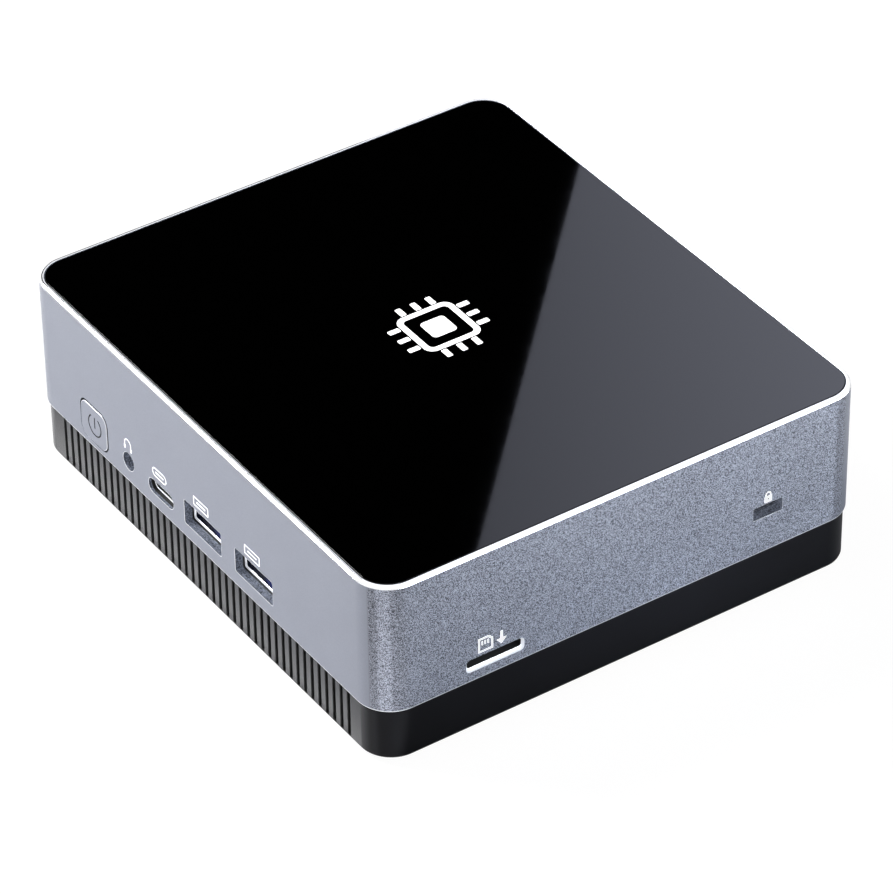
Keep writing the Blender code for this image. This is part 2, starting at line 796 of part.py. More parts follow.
def make_usb_c():
    """The small oval port: a drawn steel shell, and its thin tongue on a moulded block."""
    inner = (USB_C_SHELL[0] - 2 * SHELL_SHEET, USB_C_SHELL[1] - 2 * SHELL_SHEET)
    outline = rounded_outline(*USB_C_SHELL, USB_C_SHELL[1] / 2 - 0.01 * MM)
    hollow = rounded_outline(*inner, inner[1] / 2 - 0.01 * MM)
    centre = (USB_C_X, USB_C_Z)
    socket_shell(
        "usb_c_front_shell", outline, hollow, centre, PORT_FACE, USB_C_DEPTH, plated_steel()
    )
    back = PORT_FACE + USB_C_DEPTH - 0.5 * MM - GAP
    block_outline = rounded_outline(7.4 * MM, 2.0 * MM, 0.9 * MM)
    core = prism("usb_c_front_core", block_outline, "Y", back - 1.5 * MM, back, centre)
    tongue = prism(
        "usb_c_tongue",
        rectangle_outline(6.6 * MM, 0.7 * MM),
        "Y",
        PORT_FACE + 0.8 * MM,
        back - 0.7 * MM,
        centre,
    )
    fuse(core, tongue)
    finish(core, black_insulator())


def make_audio_jack():
    """The headphone jack, which hangs in a notch of the board."""
    half = 3.2 * MM
    depth = 12.2 * MM
    jack = block(
        "audio_jack",
        (AUDIO_X - half, PORT_FACE, AUDIO_Z - 2.5 * MM),
        (AUDIO_X + half, PORT_FACE + depth, AUDIO_Z + 2.8 * MM),
    )
    bore = rod(
        "cut_audio_bore",
        "Y",
        (AUDIO_X, AUDIO_Z),
        PORT_FACE - 1 * MM,
        PORT_FACE + depth - 0.8 * MM,
        1.8 * MM,
    )
    cut(jack, bore)
    finish(jack, black_insulator())


def make_card_reader():
    """The memory card socket behind the slot in the right wall, and its spring-loaded slider."""
    face = WALL_INSIDE_RIGHT - GAP
    depth = 14.5 * MM
    half = 7.5 * MM
    socket = block(
        "card_socket",
        (face - depth, CARD_Y - half, ON_BOARD),
        (face, CARD_Y + half, ON_BOARD + 2.0 * MM),
    )
    well_back = face - depth + 0.8 * MM
    well_low = ON_BOARD + 0.35 * MM
    well_high = ON_BOARD + 1.65 * MM
    well_half = CARD_SLOT[0] / 2 - 0.2 * MM
    well = block(
        "cut_card_well",
        (well_back, CARD_Y - well_half, well_low),
        (face + 1 * MM, CARD_Y + well_half, well_high),
    )
    cut(socket, well)
    slider_back = well_back + 1.6 * MM
    slider_half = well_half - GAP
    slider = block(
        "card_slider",
        (slider_back, CARD_Y - slider_half, well_low + GAP),
        (slider_back + 1.2 * MM, CARD_Y + slider_half, well_high - GAP),
    )
    finish(socket, plated_steel())
    finish(slider, black_insulator())


def make_lock_plate():
    """The steel plate behind the lock slot, which takes the pull of a security lock."""
    face = WALL_INSIDE_RIGHT - GAP
    outline = rectangle_outline(16.0 * MM, 10.0 * MM)
    plate = prism("lock_plate", outline, "X", face - 1.6 * MM, face, (LOCK_Y, LOCK_Z))
    slot = prism(
        "cut_lock_plate",
        rounded_outline(*LOCK_SLOT, 0.6 * MM),
        "X",
        face - 3 * MM,
        face + 1 * MM,
        (LOCK_Y, LOCK_Z),
    )
    cut(plate, slot)
    finish(plate, plated_steel())


def make_dc_inlet():
    """The power inlet: a moulded block with a round well and a centre pin."""
    depth = 14.0 * MM
    centre = (DC_X, port_z(DC_BODY))
    inlet = prism(
        "dc_inlet", rectangle_outline(*DC_BODY), "Y", REAR_PORT_FACE - depth, REAR_PORT_FACE, centre
    )
    well_end = REAR_PORT_FACE - 9.5 * MM
    cut(inlet, rod("cut_dc_well", "Y", centre, well_end, REAR_PORT_FACE + 1 * MM, 3.15 * MM))
    pin_start = well_end - 1 * MM
    pin_end = REAR_PORT_FACE - 1 * MM
    fuse(inlet, rod("dc_pin", "Y", centre, pin_start, pin_end, 1.0 * MM, SMALL_SIDES))
    finish(inlet, black_insulator())


def make_hdmi_ports():
    """Two display connectors, each a steel shell with a tongue that stands on its back wall."""
    depth = 11.5 * MM
    wall = 0.8 * MM
    for number, x in enumerate(HDMI_X, 1):
        centre = (x, port_z(HDMI_BODY))
        name = f"hdmi_{number}"
        port = prism(
            name, hdmi_outline(*HDMI_BODY), "Y", REAR_PORT_FACE, REAR_PORT_FACE - depth, centre
        )
        hollow = hdmi_outline(HDMI_BODY[0] - wall, HDMI_BODY[1] - wall)
        back = REAR_PORT_FACE - depth + 1.5 * MM
        well = prism(f"cut_{name}", hollow, "Y", back, REAR_PORT_FACE + 1 * MM, centre)
        tongue = prism(
            f"{name}_tongue",
            rectangle_outline(11.3 * MM, 1.0 * MM),
            "Y",
            back - 0.7 * MM,
            REAR_PORT_FACE - 1.2 * MM,
            (x, centre[1] + 0.3 * MM),
        )
        cut(port, well)
        fuse(port, tongue)
        finish(port, plated_steel())


def make_lan_jack():
    """The network jack: a shielded block with a stepped well for the plug and its latch."""
    depth = 20.0 * MM
    centre_z = port_z(LAN_BODY)
    jack = prism(
        "lan_jack",
        rectangle_outline(*LAN_BODY),
        "Y",
        REAR_PORT_FACE - depth,
        REAR_PORT_FACE,
        (LAN_X, centre_z),
    )
    half = 5.9 * MM
    latch = 3.2 * MM
    low = -4.6 * MM
    step = 3.6 * MM
    high = 5.4 * MM
    profile = [
        (half, low),
        (half, step),
        (latch, step),
        (latch, high),
        (-latch, high),
        (-latch, step),
        (-half, step),
        (-half, low),
    ]
    well = prism(
        "cut_lan_well",
        profile,
        "Y",
        REAR_PORT_FACE - 12.5 * MM,
        REAR_PORT_FACE + 1 * MM,
        (LAN_X, centre_z),
    )
    cut(jack, well)
    finish(jack, plated_steel())


# Mainboard and what is on it


def make_mainboard():
    """The mainboard, notched round the four corner posts and the headphone jack."""
    board = block(
        "mainboard", (-BOARD_SIDE, BOARD_FRONT, BOARD_LOW), (BOARD_SIDE, BOARD_BACK, BOARD_HIGH)
    )
    notch_size = 20 * MM
    notch_centres = four_corners(BOARD_NOTCH_X + notch_size / 2, BOARD_NOTCH_Y + notch_size / 2)
    low = BOARD_LOW - 1 * MM
    high = BOARD_HIGH + 1 * MM
    notch = rectangle_outline(notch_size, notch_size)
    corners = prisms("cut_board_corners", notch, "Z", low, high, notch_centres)
    jack_half = 3.2 * MM + GAP
    jack_notch = block(
        "cut_jack_notch",
        (AUDIO_X - jack_half, BOARD_FRONT - 1 * MM, low),
        (AUDIO_X + jack_half, PORT_FACE + 12.2 * MM + GAP, high),
    )
    hole = circle_outline(1.5 * MM, SMALL_SIDES)
    holes = prisms("cut_board_holes", hole, "Z", low, high, board_post_places())
    cut(board, corners, jack_notch, holes)
    finish(board, circuit_board())


def make_board_screws():
    """Two screws that hold the mainboard up against the housing's board posts."""
    head_low = UNDER_BOARD - 1.5 * MM
    shank = 1.0 * MM
    shank_end = ON_BOARD + 5 * MM
    profile = [
        (head_low, 2.4 * MM),
        (UNDER_BOARD, 2.4 * MM),
        (UNDER_BOARD, shank),
        (shank_end, shank),
    ]
    for number, centre in enumerate(board_post_places(), 1):
        finish(turned(f"board_screw_{number}", centre, profile, SMALL_SIDES), blackened_steel())


def make_processor():
    """The soldered processor: a thin substrate with a die on it."""
    half = (22.0 * MM, 12.5 * MM)
    die = (11.0 * MM, 5.0 * MM)
    substrate = 1.0 * MM
    package = block(
        "processor",
        (-half[0], PROCESSOR_Y - half[1], ON_BOARD),
        (half[0], PROCESSOR_Y + half[1], ON_BOARD + substrate),
    )
    chip = block(
        "processor_die",
        (-die[0], PROCESSOR_Y - die[1], ON_BOARD + substrate / 2),
        (die[0], PROCESSOR_Y + die[1], PROCESSOR_TOP),
    )
    fuse(package, chip)
    finish(package, processor_package())


def memory_side(name, bar_start):
    """One memory socket under the board, with two latch arms, and the module in it."""
    left = -51.0 * MM
    right = 23.0 * MM
    arm = 2.0 * MM
    bar_end = bar_start + 6 * MM
    low = UNDER_BOARD - 4.9 * MM
    socket = block(f"memory_socket_{name}", (left, bar_start, low), (right, bar_end, UNDER_BOARD))
    arm_low = low + 1 * MM
    for side, start in (("left", left), ("right", right - arm)):
        piece = block(
            f"socket_{name}_{side}_arm",
            (start, bar_end - 1 * MM, arm_low),
            (start + arm, bar_end + 20 * MM, UNDER_BOARD - 1 * MM),
        )
        fuse(socket, piece)
    module_left = left + arm + GAP
    module_right = right - arm - GAP
    module_low = low + 1.4 * MM
    module_high = module_low + 1.1 * MM
    grip = 2.5 * MM
    slit = block(
        f"cut_socket_{name}",
        (module_left - GAP, bar_end - grip - GAP, module_low - GAP),
        (module_right + GAP, bar_end + 1 * MM, module_high + GAP),
    )
    cut(socket, slit)
    module = block(
        f"memory_module_{name}",
        (module_left, bar_end - grip, module_low),
        (module_right, bar_end + 27.5 * MM, module_high),
    )
    chip = rectangle_outline(11 * MM, 14 * MM)
    pitch = 16 * MM
    middle = (left + right) / 2
    centres = [(middle + pitch * (i - 1.5), bar_end + 14 * MM) for i in range(4)]
    chips = prisms(
        f"module_{name}_chips", chip, "Z", module_low + 0.4 * MM, module_high + 0.9 * MM, centres
    )
    fuse(module, chips)
    finish(socket, black_insulator())
    finish(module, circuit_board())


def make_memory():
    memory_side("1", -47.0 * MM)
    memory_side("2", -11.0 * MM)


def make_ssd():
    """The storage card under the board: its socket, its standoff and the one screw that holds it."""
    left = 27.0 * MM
    right = 49.0 * MM
    middle = (left + right) / 2
    socket_front = -50.0 * MM
    socket_back = -44.0 * MM
    card_low = UNDER_BOARD - 2.7 * MM
    card_high = card_low + 0.8 * MM
    card_front = socket_back - 2 * MM
    card_back = card_front + 80 * MM
    socket = block(
        "ssd_socket", (left, socket_front, UNDER_BOARD - 4.2 * MM), (right, socket_back, UNDER_BOARD)
    )
    slit = block(
        "cut_ssd_socket",
        (left + 0.7 * MM, card_front - GAP, card_low - GAP),
        (right - 0.7 * MM, socket_back + 1 * MM, card_high + GAP),
    )
    cut(socket, slit)
    card = block("ssd", (left + 1 * MM, card_front, card_low), (right - 1 * MM, card_back, card_high))
    chip = rectangle_outline(14 * MM, 16 * MM)
    centres = [(middle, card_front + 18 * MM + 20 * MM * i) for i in range(3)]
    chips = prisms("ssd_chips", chip, "Z", card_low - 1.1 * MM, card_low + 0.4 * MM, centres)
    end = (middle, card_back)
    notch_low = card_low - 1 * MM
    notch_high = card_high + 1 * MM
    notch = rod("cut_ssd_notch", "Z", end, notch_low, notch_high, 1.75 * MM, SMALL_SIDES)
    fuse(card, chips)
    cut(card, notch)
    standoff_low = card_high + GAP
    standoff = rod("ssd_standoff", "Z", end, standoff_low, UNDER_BOARD, 2.4 * MM, SMALL_SIDES)
    bore_high = UNDER_BOARD - 0.3 * MM
    bore = rod("cut_standoff", "Z", end, standoff_low - 1 * MM, bore_high, 1.35 * MM, SMALL_SIDES)
    cut(standoff, bore)
    head_high = card_low - GAP
    profile = [
        (head_high - 0.9 * MM, 2.6 * MM),
        (head_high, 2.6 * MM),
        (head_high, 1.0 * MM),
        (standoff_low + 1 * MM, 1.0 * MM),
    ]
    screw = turned("ssd_screw", end, profile, SMALL_SIDES)
    finish(socket, black_insulator())
    finish(card, circuit_board())
    finish(standoff, brass())
    finish(screw, plated_steel())


def make_wifi():
    """The wireless card and its socket, under the board."""
    front = 25.0 * MM
    back = 47.0 * MM
    socket_left = -50.4 * MM
    socket_right = -45.0 * MM
    card_low = UNDER_BOARD - 2.7 * MM
    card_high = card_low + 0.8 * MM
    socket = block(
        "wifi_socket",
        (socket_left, front, UNDER_BOARD - 4.2 * MM),
        (socket_right, back, UNDER_BOARD),
    )
    slit = block(
        "cut_wifi_socket",
        (socket_right - 2 * MM - GAP, front + 0.7 * MM, card_low - GAP),
        (socket_right + 1 * MM, back - 0.7 * MM, card_high + GAP),
    )
    cut(socket, slit)
    card = block(
        "wifi_card",
        (socket_right - 2 * MM, front + 1 * MM, card_low),
        (socket_right + 28 * MM, back - 1 * MM, card_high),
    )
    can = block(
        "wifi_shield",
        (socket_right + 4 * MM, front + 4 * MM, card_low - 1.4 * MM),
        (socket_right + 20 * MM, back - 4 * MM, card_low + 0.4 * MM),
    )
    fuse(card, can)
    finish(socket, black_insulator())
    finish(card, circuit_board())


def make_coin_cell():
    """The clock's coin cell in its round holder, under the board."""
    centre = (2.0 * MM, 38.0 * MM)
    holder_low = UNDER_BOARD - 4.4 * MM
    holder = rod("coin_cell_holder", "Z", centre, holder_low, UNDER_BOARD, 11.4 * MM)
    cell_high = UNDER_BOARD - 1.2 * MM
    well = rod("cut_cell_well", "Z", centre, holder_low - 1 * MM, cell_high + GAP, 10.4 * MM)
    cut(holder, well)
    cell = rod("coin_cell", "Z", centre, cell_high - 3.2 * MM, cell_high, 10.0 * MM)
    finish(holder, black_insulator())
    finish(cell, plated_steel())


# Cooling


def make_cold_plate():
    """The copper plate that lies on the processor."""
    half = (24.0 * MM, 16.0 * MM)
    plate = block(
        "cold_plate",
        (-half[0], PROCESSOR_Y - half[1], PROCESSOR_TOP + GAP),
        (half[0], PROCESSOR_Y + half[1], COLD_PLATE_HIGH),
    )
    finish(plate, copper())


def hairpin(start_x, near_y, far_y, turn_x):
    """Points of a pipe that runs along near_y, turns back in a half circle, and ends along far_y."""
    radius = (far_y - near_y) / 2
    steps = 10
    points = [(start_x, near_y), (0.0, near_y)]
    for step in range(steps + 1):
        angle = math.pi * (step / steps - 0.5)
        x = turn_x + radius * math.cos(angle)
        points.append((x, (near_y + far_y) / 2 + radius * math.sin(angle)))
    points.append((0.0, far_y))
    points.append((start_x, far_y))
    return points


def make_heat_pipe(number, near_y, far_y):
    """A round pipe, from the cold plate to under the fins."""
    line = bpy.data.curves.new(f"heat_pipe_{number}", "CURVE")
    line.dimensions = "3D"
    line.bevel_depth = PIPE_RADIUS
    line.bevel_resolution = 2
    line.use_fill_caps = True
    points = hairpin(-26.0 * MM, near_y, far_y, 15.0 * MM)
    spline = line.splines.new("POLY")
    spline.points.add(len(points) - 1)
    for point, (x, y) in zip(spline.points, points):
        point.co = (x, y, 0.0, 1.0)
    pipe = bpy.data.objects.new(f"heat_pipe_{number}", line)
    pipe.location = (0.0, 0.0, PIPE_Z)
    bpy.context.scene.collection.objects.link(pipe)
    finish(pipe, copper())


def make_heat_pipes():
    make_heat_pipe(1, -14.0 * MM, 30.0 * MM)
    make_heat_pipe(2, -4.0 * MM, 23.5 * MM)


def make_fin_stack():
    """The aluminium fins in front of the rear grille, joined at top and bottom."""
    front = 20.0 * MM
    back = 33.5 * MM
    half = FIN_PITCH * (FIN_COUNT + 1) / 2
    plate = 0.8 * MM
    low = DUCT_LOW
    high = DECK_LOW - 1 * MM
    stack = block("fin_stack", (-half, front, low), (half, back, high))
    gap_outline = rectangle_outline(FIN_PITCH - 0.6 * MM, high - low - 2 * plate)
    first = -FIN_PITCH * (FIN_COUNT - 1) / 2
    centres = [(first + FIN_PITCH * i, (low + high) / 2) for i in range(FIN_COUNT)]
    gaps = prisms("cut_fin_gaps", gap_outline, "Y", front - 1 * MM, back + 1 * MM, centres)
    cut(stack, gaps)
    finish(stack, bare_aluminium())


def fan_plan():
    """The fan casing's low and high corners in plan."""
    return (-32.0 * MM, -44.0 * MM), (32.0 * MM, 19.5 * MM)


def make_fan_housing():
    """The blower's casing: a round chamber that opens towards the fins."""
    low, high = fan_plan()
    casing = block("fan_housing", (*low, DUCT_LOW), (*high, FAN_WALL_TOP))
    above = FAN_WALL_TOP + 1 * MM
    chamber = rod("cut_chamber", "Z", (FAN_X, FAN_Y), FAN_FLOOR, above, BLADE_TIP + 2.3 * MM, 28)
    outlet = block(
        "cut_outlet", (-20.0 * MM, FAN_Y + 6 * MM, FAN_FLOOR), (29.0 * MM, high[1] + 1 * MM, above)
    )
    cut(casing, chamber, outlet)
    finish(casing, black_plastic())


def make_fan_lid():
    """The blower's lid, with its round inlet."""
    low, high = fan_plan()
    lid = block(
        "fan_lid", (*low, FAN_WALL_TOP + GAP), (*high, FAN_WALL_TOP + GAP + 0.8 * MM)
    )
    inlet = rod(
        "cut_inlet",
        "Z",
        (FAN_X, FAN_Y),
        FAN_WALL_TOP,
        FAN_WALL_TOP + 2 * MM,
        17.0 * MM,
        28,
    )
    cut(lid, inlet)
    finish(lid, blackened_steel())


def make_fan_motor():
    """The motor's wound core, on the casing's floor, with a bearing for the rotor's shaft."""
    low = FAN_FLOOR + GAP
    high = FAN_WALL_TOP - 3.2 * MM
    centre = (FAN_X, FAN_Y)
    motor = rod("fan_motor", "Z", centre, low, high, HUB_RADIUS - 1.9 * MM)
    bearing = rod("cut_bearing", "Z", centre, low + 0.5 * MM, high + 1 * MM, 1.4 * MM, SMALL_SIDES)
    cut(motor, bearing)
    finish(motor, copper())


def blade_outline(turn):
    """One blade in plan, curved back from the hub to its tip."""
    inner = HUB_RADIUS - 0.5 * MM
    steps = 3
    sweep = math.radians(16)
    half_thickness = 0.35 * MM
    sides = ([], [])
    for step in range(steps + 1):
        share = step / steps
        radius = inner + (BLADE_TIP - inner) * share
        angle = turn + sweep * share * share
        for side, points in zip((-1, 1), sides):
            offset = side * half_thickness / radius
            points.append((radius * math.cos(angle + offset), radius * math.sin(angle + offset)))
    return sides[0] + sides[1][::-1]


def make_fan_rotor():
    """The blower's rotor: a hub cup over the motor, a shaft, and curved blades."""
    centre = (FAN_X, FAN_Y)
    low = FAN_FLOOR + 0.9 * MM
    high = FAN_WALL_TOP - 0.9 * MM
    rotor = rod("fan_rotor", "Z", centre, low, high, HUB_RADIUS)
    shape = bmesh.new()
    for blade in range(BLADE_COUNT):
        outline = blade_outline(2 * math.pi * blade / BLADE_COUNT)
        rings = [on_plane(outline, "Z", z, centre) for z in (low + 0.4 * MM, high - 0.6 * MM)]
        add_skin(shape, rings)
    blades = add_object("fan_blades", shape)
    cup = rod("cut_hub", "Z", centre, low - 1 * MM, high - 1.2 * MM, HUB_RADIUS - 1.3 * MM)
    shaft = rod("fan_shaft", "Z", centre, low, high - 0.6 * MM, 1.0 * MM, SMALL_SIDES)
    fuse(rotor, blades)
    cut(rotor, cup)
    fuse(rotor, shaft)
    move_origin(rotor, (FAN_X, FAN_Y, (low + high) / 2))
    finish(rotor, black_insulator())


def clear_scene():
    for old in list(bpy.data.objects):
        bpy.data.objects.remove(old)


def main():
    clear_scene()
    frame = bpy.data.objects.new("mini_pc", None)
    bpy.context.scene.collection.objects.link(frame)
    make_top_housing()
    make_top_panel()
    make_bottom_cover()
    make_feet()
    make_cover_screws()
    make_bracket_inserts()
    make_rear_plate()
    make_power_button()
    make_power_switch()
    make_front_usb_a()
    make_usb_c()
    make_audio_jack()
    make_card_reader()
    make_lock_plate()
    make_dc_inlet()
    make_hdmi_ports()
    make_rear_usb_a()
    make_lan_jack()
    make_mainboard()
    make_board_screws()
    make_processor()
    make_memory()
    make_ssd()
    make_wifi()
    make_coin_cell()
    make_cold_plate()
    make_heat_pipes()
    make_fin_stack()
    make_fan_housing()
    make_fan_lid()
    make_fan_motor()
    make_fan_rotor()


main()
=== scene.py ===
"""The looks of the mini pc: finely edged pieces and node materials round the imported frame.

Metres, +Z up, in the frame's own place. A connector is modelled as a user faces it: X to the right,
Y inwards and Z up. Its matrix then turns it to the front, the rear, the right side or the top.
"""

import math

import bmesh
import bpy
from mathutils import Matrix, Vector


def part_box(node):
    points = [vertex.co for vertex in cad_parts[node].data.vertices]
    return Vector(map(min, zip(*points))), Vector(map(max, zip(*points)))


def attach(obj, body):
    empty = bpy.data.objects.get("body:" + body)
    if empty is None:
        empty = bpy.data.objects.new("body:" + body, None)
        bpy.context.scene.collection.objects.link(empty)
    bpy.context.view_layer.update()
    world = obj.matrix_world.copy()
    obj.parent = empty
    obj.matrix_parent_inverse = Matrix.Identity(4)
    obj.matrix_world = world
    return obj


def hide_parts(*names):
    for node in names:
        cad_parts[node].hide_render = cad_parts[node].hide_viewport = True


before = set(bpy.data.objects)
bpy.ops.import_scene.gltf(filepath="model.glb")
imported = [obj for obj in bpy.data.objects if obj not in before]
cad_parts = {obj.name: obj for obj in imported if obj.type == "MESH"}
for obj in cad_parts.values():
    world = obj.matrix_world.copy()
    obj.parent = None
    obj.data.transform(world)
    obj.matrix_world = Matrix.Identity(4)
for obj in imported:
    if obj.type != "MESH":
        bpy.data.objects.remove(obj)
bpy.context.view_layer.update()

MM = 0.001
GAP = 0.3 * MM
INK = 0.02 * MM

# Case, from the frame. The skin is set back by the ink's thickness, so that prints end at the box.
CASE_LOW, CASE_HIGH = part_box("top_housing")
BASE_LOW, BASE_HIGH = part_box("bottom_cover")
CORNER_RADIUS = 7.4 * MM
CORNER_STEPS = 20
FRONT = CASE_LOW.y
BACK = CASE_HIGH.y
RIGHT = CASE_HIGH.x
TOP = CASE_HIGH.z
WALL = 2.2 * MM
DECK_LOW = TOP - 3.3 * MM
DECK_HIGH = TOP - 1.9 * MM
RIM_CHAMFER = 0.50 * MM
RIM_CREASE = 0.22 * MM
RIM_DROP = 0.46 * MM
RIM_INSIDE = 1.0 * MM
PANEL_GAP = 0.2 * MM
LOWER_ROUND = 0.35 * MM
EDGE = 0.15 * MM

# Base
BASE_INSET = 0.5 * MM
BASE_WALL = 3.7 * MM
LIP_INSET = WALL + GAP
BASE_BAND_TOP = CASE_LOW.z - GAP
FLOOR_TOP = BASE_LOW.z + 2.0 * MM
RIB_PITCH = 2.52 * MM
RIB_COUNT = 42
GROOVE_WIDTH = 0.85 * MM
GROOVE_DEPTH = 1.2 * MM
FIRST_RIB = -RIB_PITCH * (RIB_COUNT - 1) / 2
VENT_PITCH = 4.0 * MM
VENT_COUNT = 15
VENT_SIZE = (1.8 * MM, 40.0 * MM)

# Rear plate
PLATE_HALF = 51.7 * MM
PLATE_LOW = CASE_LOW.z + 2.0 * MM
PLATE_HIGH = TOP - 4.3 * MM
PLATE_OUTSIDE = BACK - 0.25 * MM
PLATE_INSIDE = BACK - 3.35 * MM
GRILLE_COUNT = 20
GRILLE_PITCH = 4.3 * MM
GRILLE_SLOT = (2.3 * MM, 4.4 * MM)
GRILLE_Z = TOP - 7.1 * MM

# Roundness
SIDES = 48
STEPS = 6


# Outlines, as points in a plane, anticlockwise


def rounded_outline(width, height, radius, steps=STEPS):
    """A rectangle with round corners, centred on (0, 0)."""
    points = []
    for corner, (side_u, side_v) in enumerate(((1, 1), (-1, 1), (-1, -1), (1, -1))):
        for step in range(steps + 1):
            angle = math.pi / 2 * (corner + step / steps)
            u = side_u * (width / 2 - radius) + radius * math.cos(angle)
            v = side_v * (height / 2 - radius) + radius * math.sin(angle)
            points.append((u, v))
    return points


def circle_outline(radius, sides=SIDES, lobes=0, depth=0.0):
    """A circle, or with lobes a wavy round."""
    points = []
    for side in range(sides):
        turn = 2 * math.pi * side / sides
        r = radius * (1 + depth * math.cos(lobes * turn))
        points.append((r * math.cos(turn), r * math.sin(turn)))
    return points


def arc_outline(radius, width, start, end, steps=24):
    """A band of a ring, between two angles in degrees."""
    outer = []
    inner = []
    for step in range(steps + 1):
        turn = math.radians(start + (end - start) * step / steps)
        outer.append(((radius + width / 2) * math.cos(turn), (radius + width / 2) * math.sin(turn)))
        inner.append(((radius - width / 2) * math.cos(turn), (radius - width / 2) * math.sin(turn)))
    return outer + inner[::-1]


def hdmi_outline(width, height, grow=0.0):
    """A flat socket whose two lower corners slope in, moved out by grow."""
    u = width / 2 + grow
    v = height / 2 + grow
    slope_low = u - 2.0 * MM - 0.4 * grow
    slope_high = v - 3.0 * MM - 0.4 * grow
    return [(u, v), (-u, v), (-u, slope_high), (-slope_low, -v), (slope_low, -v), (u, slope_high)]


def case_outline(inset):
    """The plan of the case, moved in from its outermost line."""
    width = 2 * (RIGHT - inset)
    depth = 2 * (BACK - inset)
    return rounded_outline(width, depth, CORNER_RADIUS - inset, CORNER_STEPS)


def on_plane(outline, axis, level, centre=(0.0, 0.0)):
    """The outline's points in space, on the plane across the axis at that level."""
    u, v = centre
    if axis == "X":
        return [(level, u + a, v + b) for a, b in outline]
    if axis == "Y":
        return [(u + a, level, v + b) for a, b in outline]
    return [(u + a, v + b, level) for a, b in outline]


# Solids


def add_skin(shape, rings, looks=(0,), closed=False):
    """A skin through rings of points. Each band takes its place in looks, and the last one repeats.

    An open row of rings gets a cap on each end, and a closed one joins its last ring to its first.
    """
    loops = [[shape.verts.new(point) for point in ring] for ring in rings]
    pairs = list(zip(loops, loops[1:]))
    if closed:
        pairs.append((loops[-1], loops[0]))
    bands = list(looks) + [looks[-1]] * (len(pairs) - len(looks))
    for (lower, upper), look in zip(pairs, bands):
        for i in range(len(lower)):
            j = (i + 1) % len(lower)
            shape.faces.new((lower[i], lower[j], upper[j], upper[i])).material_index = look
    if not closed:
        shape.faces.new(loops[0]).material_index = bands[0]
        shape.faces.new(loops[-1]).material_index = bands[-1]


def add_prism(shape, outline, axis, start, end, centre=(0.0, 0.0), look=0):
    add_skin(shape, [on_plane(outline, axis, level, centre) for level in (start, end)], (look,))


def add_block(shape, low, high, edge=0.0, look=0):
    """A box between two corners, with its upright edges and its two ends bevelled."""
    width = high[0] - low[0]
    depth = high[1] - low[1]
    centre = ((low[0] + high[0]) / 2, (low[1] + high[1]) / 2)
    if edge == 0.0:
        outline = rounded_outline(width, depth, 0.02 * MM, 1)
        add_prism(shape, outline, "Z", low[2], high[2], centre, look)
        return
    full = rounded_outline(width, depth, edge, 3)
    small = rounded_outline(width - edge, depth - edge, edge / 2, 3)
    rings = [
        on_plane(small, "Z", low[2], centre),
        on_plane(full, "Z", low[2] + edge / 2, centre),
        on_plane(full, "Z", high[2] - edge / 2, centre),
        on_plane(small, "Z", high[2], centre),
    ]
    add_skin(shape, rings, (look,))


def add_frame(shape, outer, inner, start, end, centre=(0.0, 0.0)):
    """A flat ring between two outlines, across Y."""
    corners = ((outer, start), (outer, end), (inner, end), (inner, start))
    add_skin(shape, [on_plane(outline, "Y", level, centre) for outline, level in corners], closed=True)


def add_nosed(shape, outline, start, end, nose, shrink, centre=(0.0, 0.0)):
    """A solid across Y whose front edge is bevelled. outline gives an outline for a growth."""
    rings = [
        on_plane(outline(-shrink), "Y", start, centre),
        on_plane(outline(0.0), "Y", start + nose, centre),
        on_plane(outline(0.0), "Y", end, centre),
    ]
    add_skin(shape, rings)


def add_strip(shape, u, w, start, end, half_width, half_height, edge=0.0):
    """A flat bar along Y round the point (u, w)."""
    low = (u - half_width, start, w - half_height)
    add_block(shape, low, (u + half_width, end, w + half_height), edge)


def add_cup(shape, outer, inner, depth, floor, roll):
    """A shell open at its face, where its edge is rolled inwards, and closed at its back.

    outer and inner give an outline for a growth, and depth and floor are measured inwards.
    The rolled edge takes the second look.
    """
    edge = 0.3 * roll
    rings = [
        on_plane(inner(0.0), "Y", floor),
        on_plane(inner(0.0), "Y", 3 * roll),
        on_plane(inner(-0.7 * roll), "Y", roll),
        on_plane(inner(-roll), "Y", edge),
        on_plane(inner(-roll + edge), "Y", 0.0),
        on_plane(outer(-edge), "Y", 0.0),
        on_plane(outer(0.0), "Y", edge),
        on_plane(outer(0.0), "Y", depth),
    ]
    add_skin(shape, rings, (0, 0, 0, 1, 1, 1, 0))


def add_object(name, shape, looks, place=None):
    """An object for a finished bmesh."""
    bmesh.ops.recalc_face_normals(shape, faces=shape.faces)
    if place is not None:
        bmesh.ops.transform(shape, matrix=place, verts=shape.verts)
    mesh = bpy.data.meshes.new(name)
    shape.to_mesh(mesh)
    shape.free()
    for look in looks:
        mesh.materials.append(look)
    piece = bpy.data.objects.new(name, mesh)
    bpy.context.scene.collection.objects.link(piece)
    return piece


def carve(piece, cutters, joined=()):
    """Takes the cutters away from a piece after joining the others to it, for good."""
    for operation, tools in (("UNION", joined), ("DIFFERENCE", cutters)):
        for tool in tools:
            modifier = piece.modifiers.new(tool.name, "BOOLEAN")
            modifier.operation = operation
            modifier.solver = "EXACT"
            modifier.object = tool
    seen = piece.evaluated_get(bpy.context.evaluated_depsgraph_get())
    carved = bpy.data.meshes.new_from_object(seen)
    rough = piece.data
    piece.modifiers.clear()
    piece.data = carved
    bpy.data.meshes.remove(rough)
    for tool in (*joined, *cutters):
        bpy.data.objects.remove(tool)


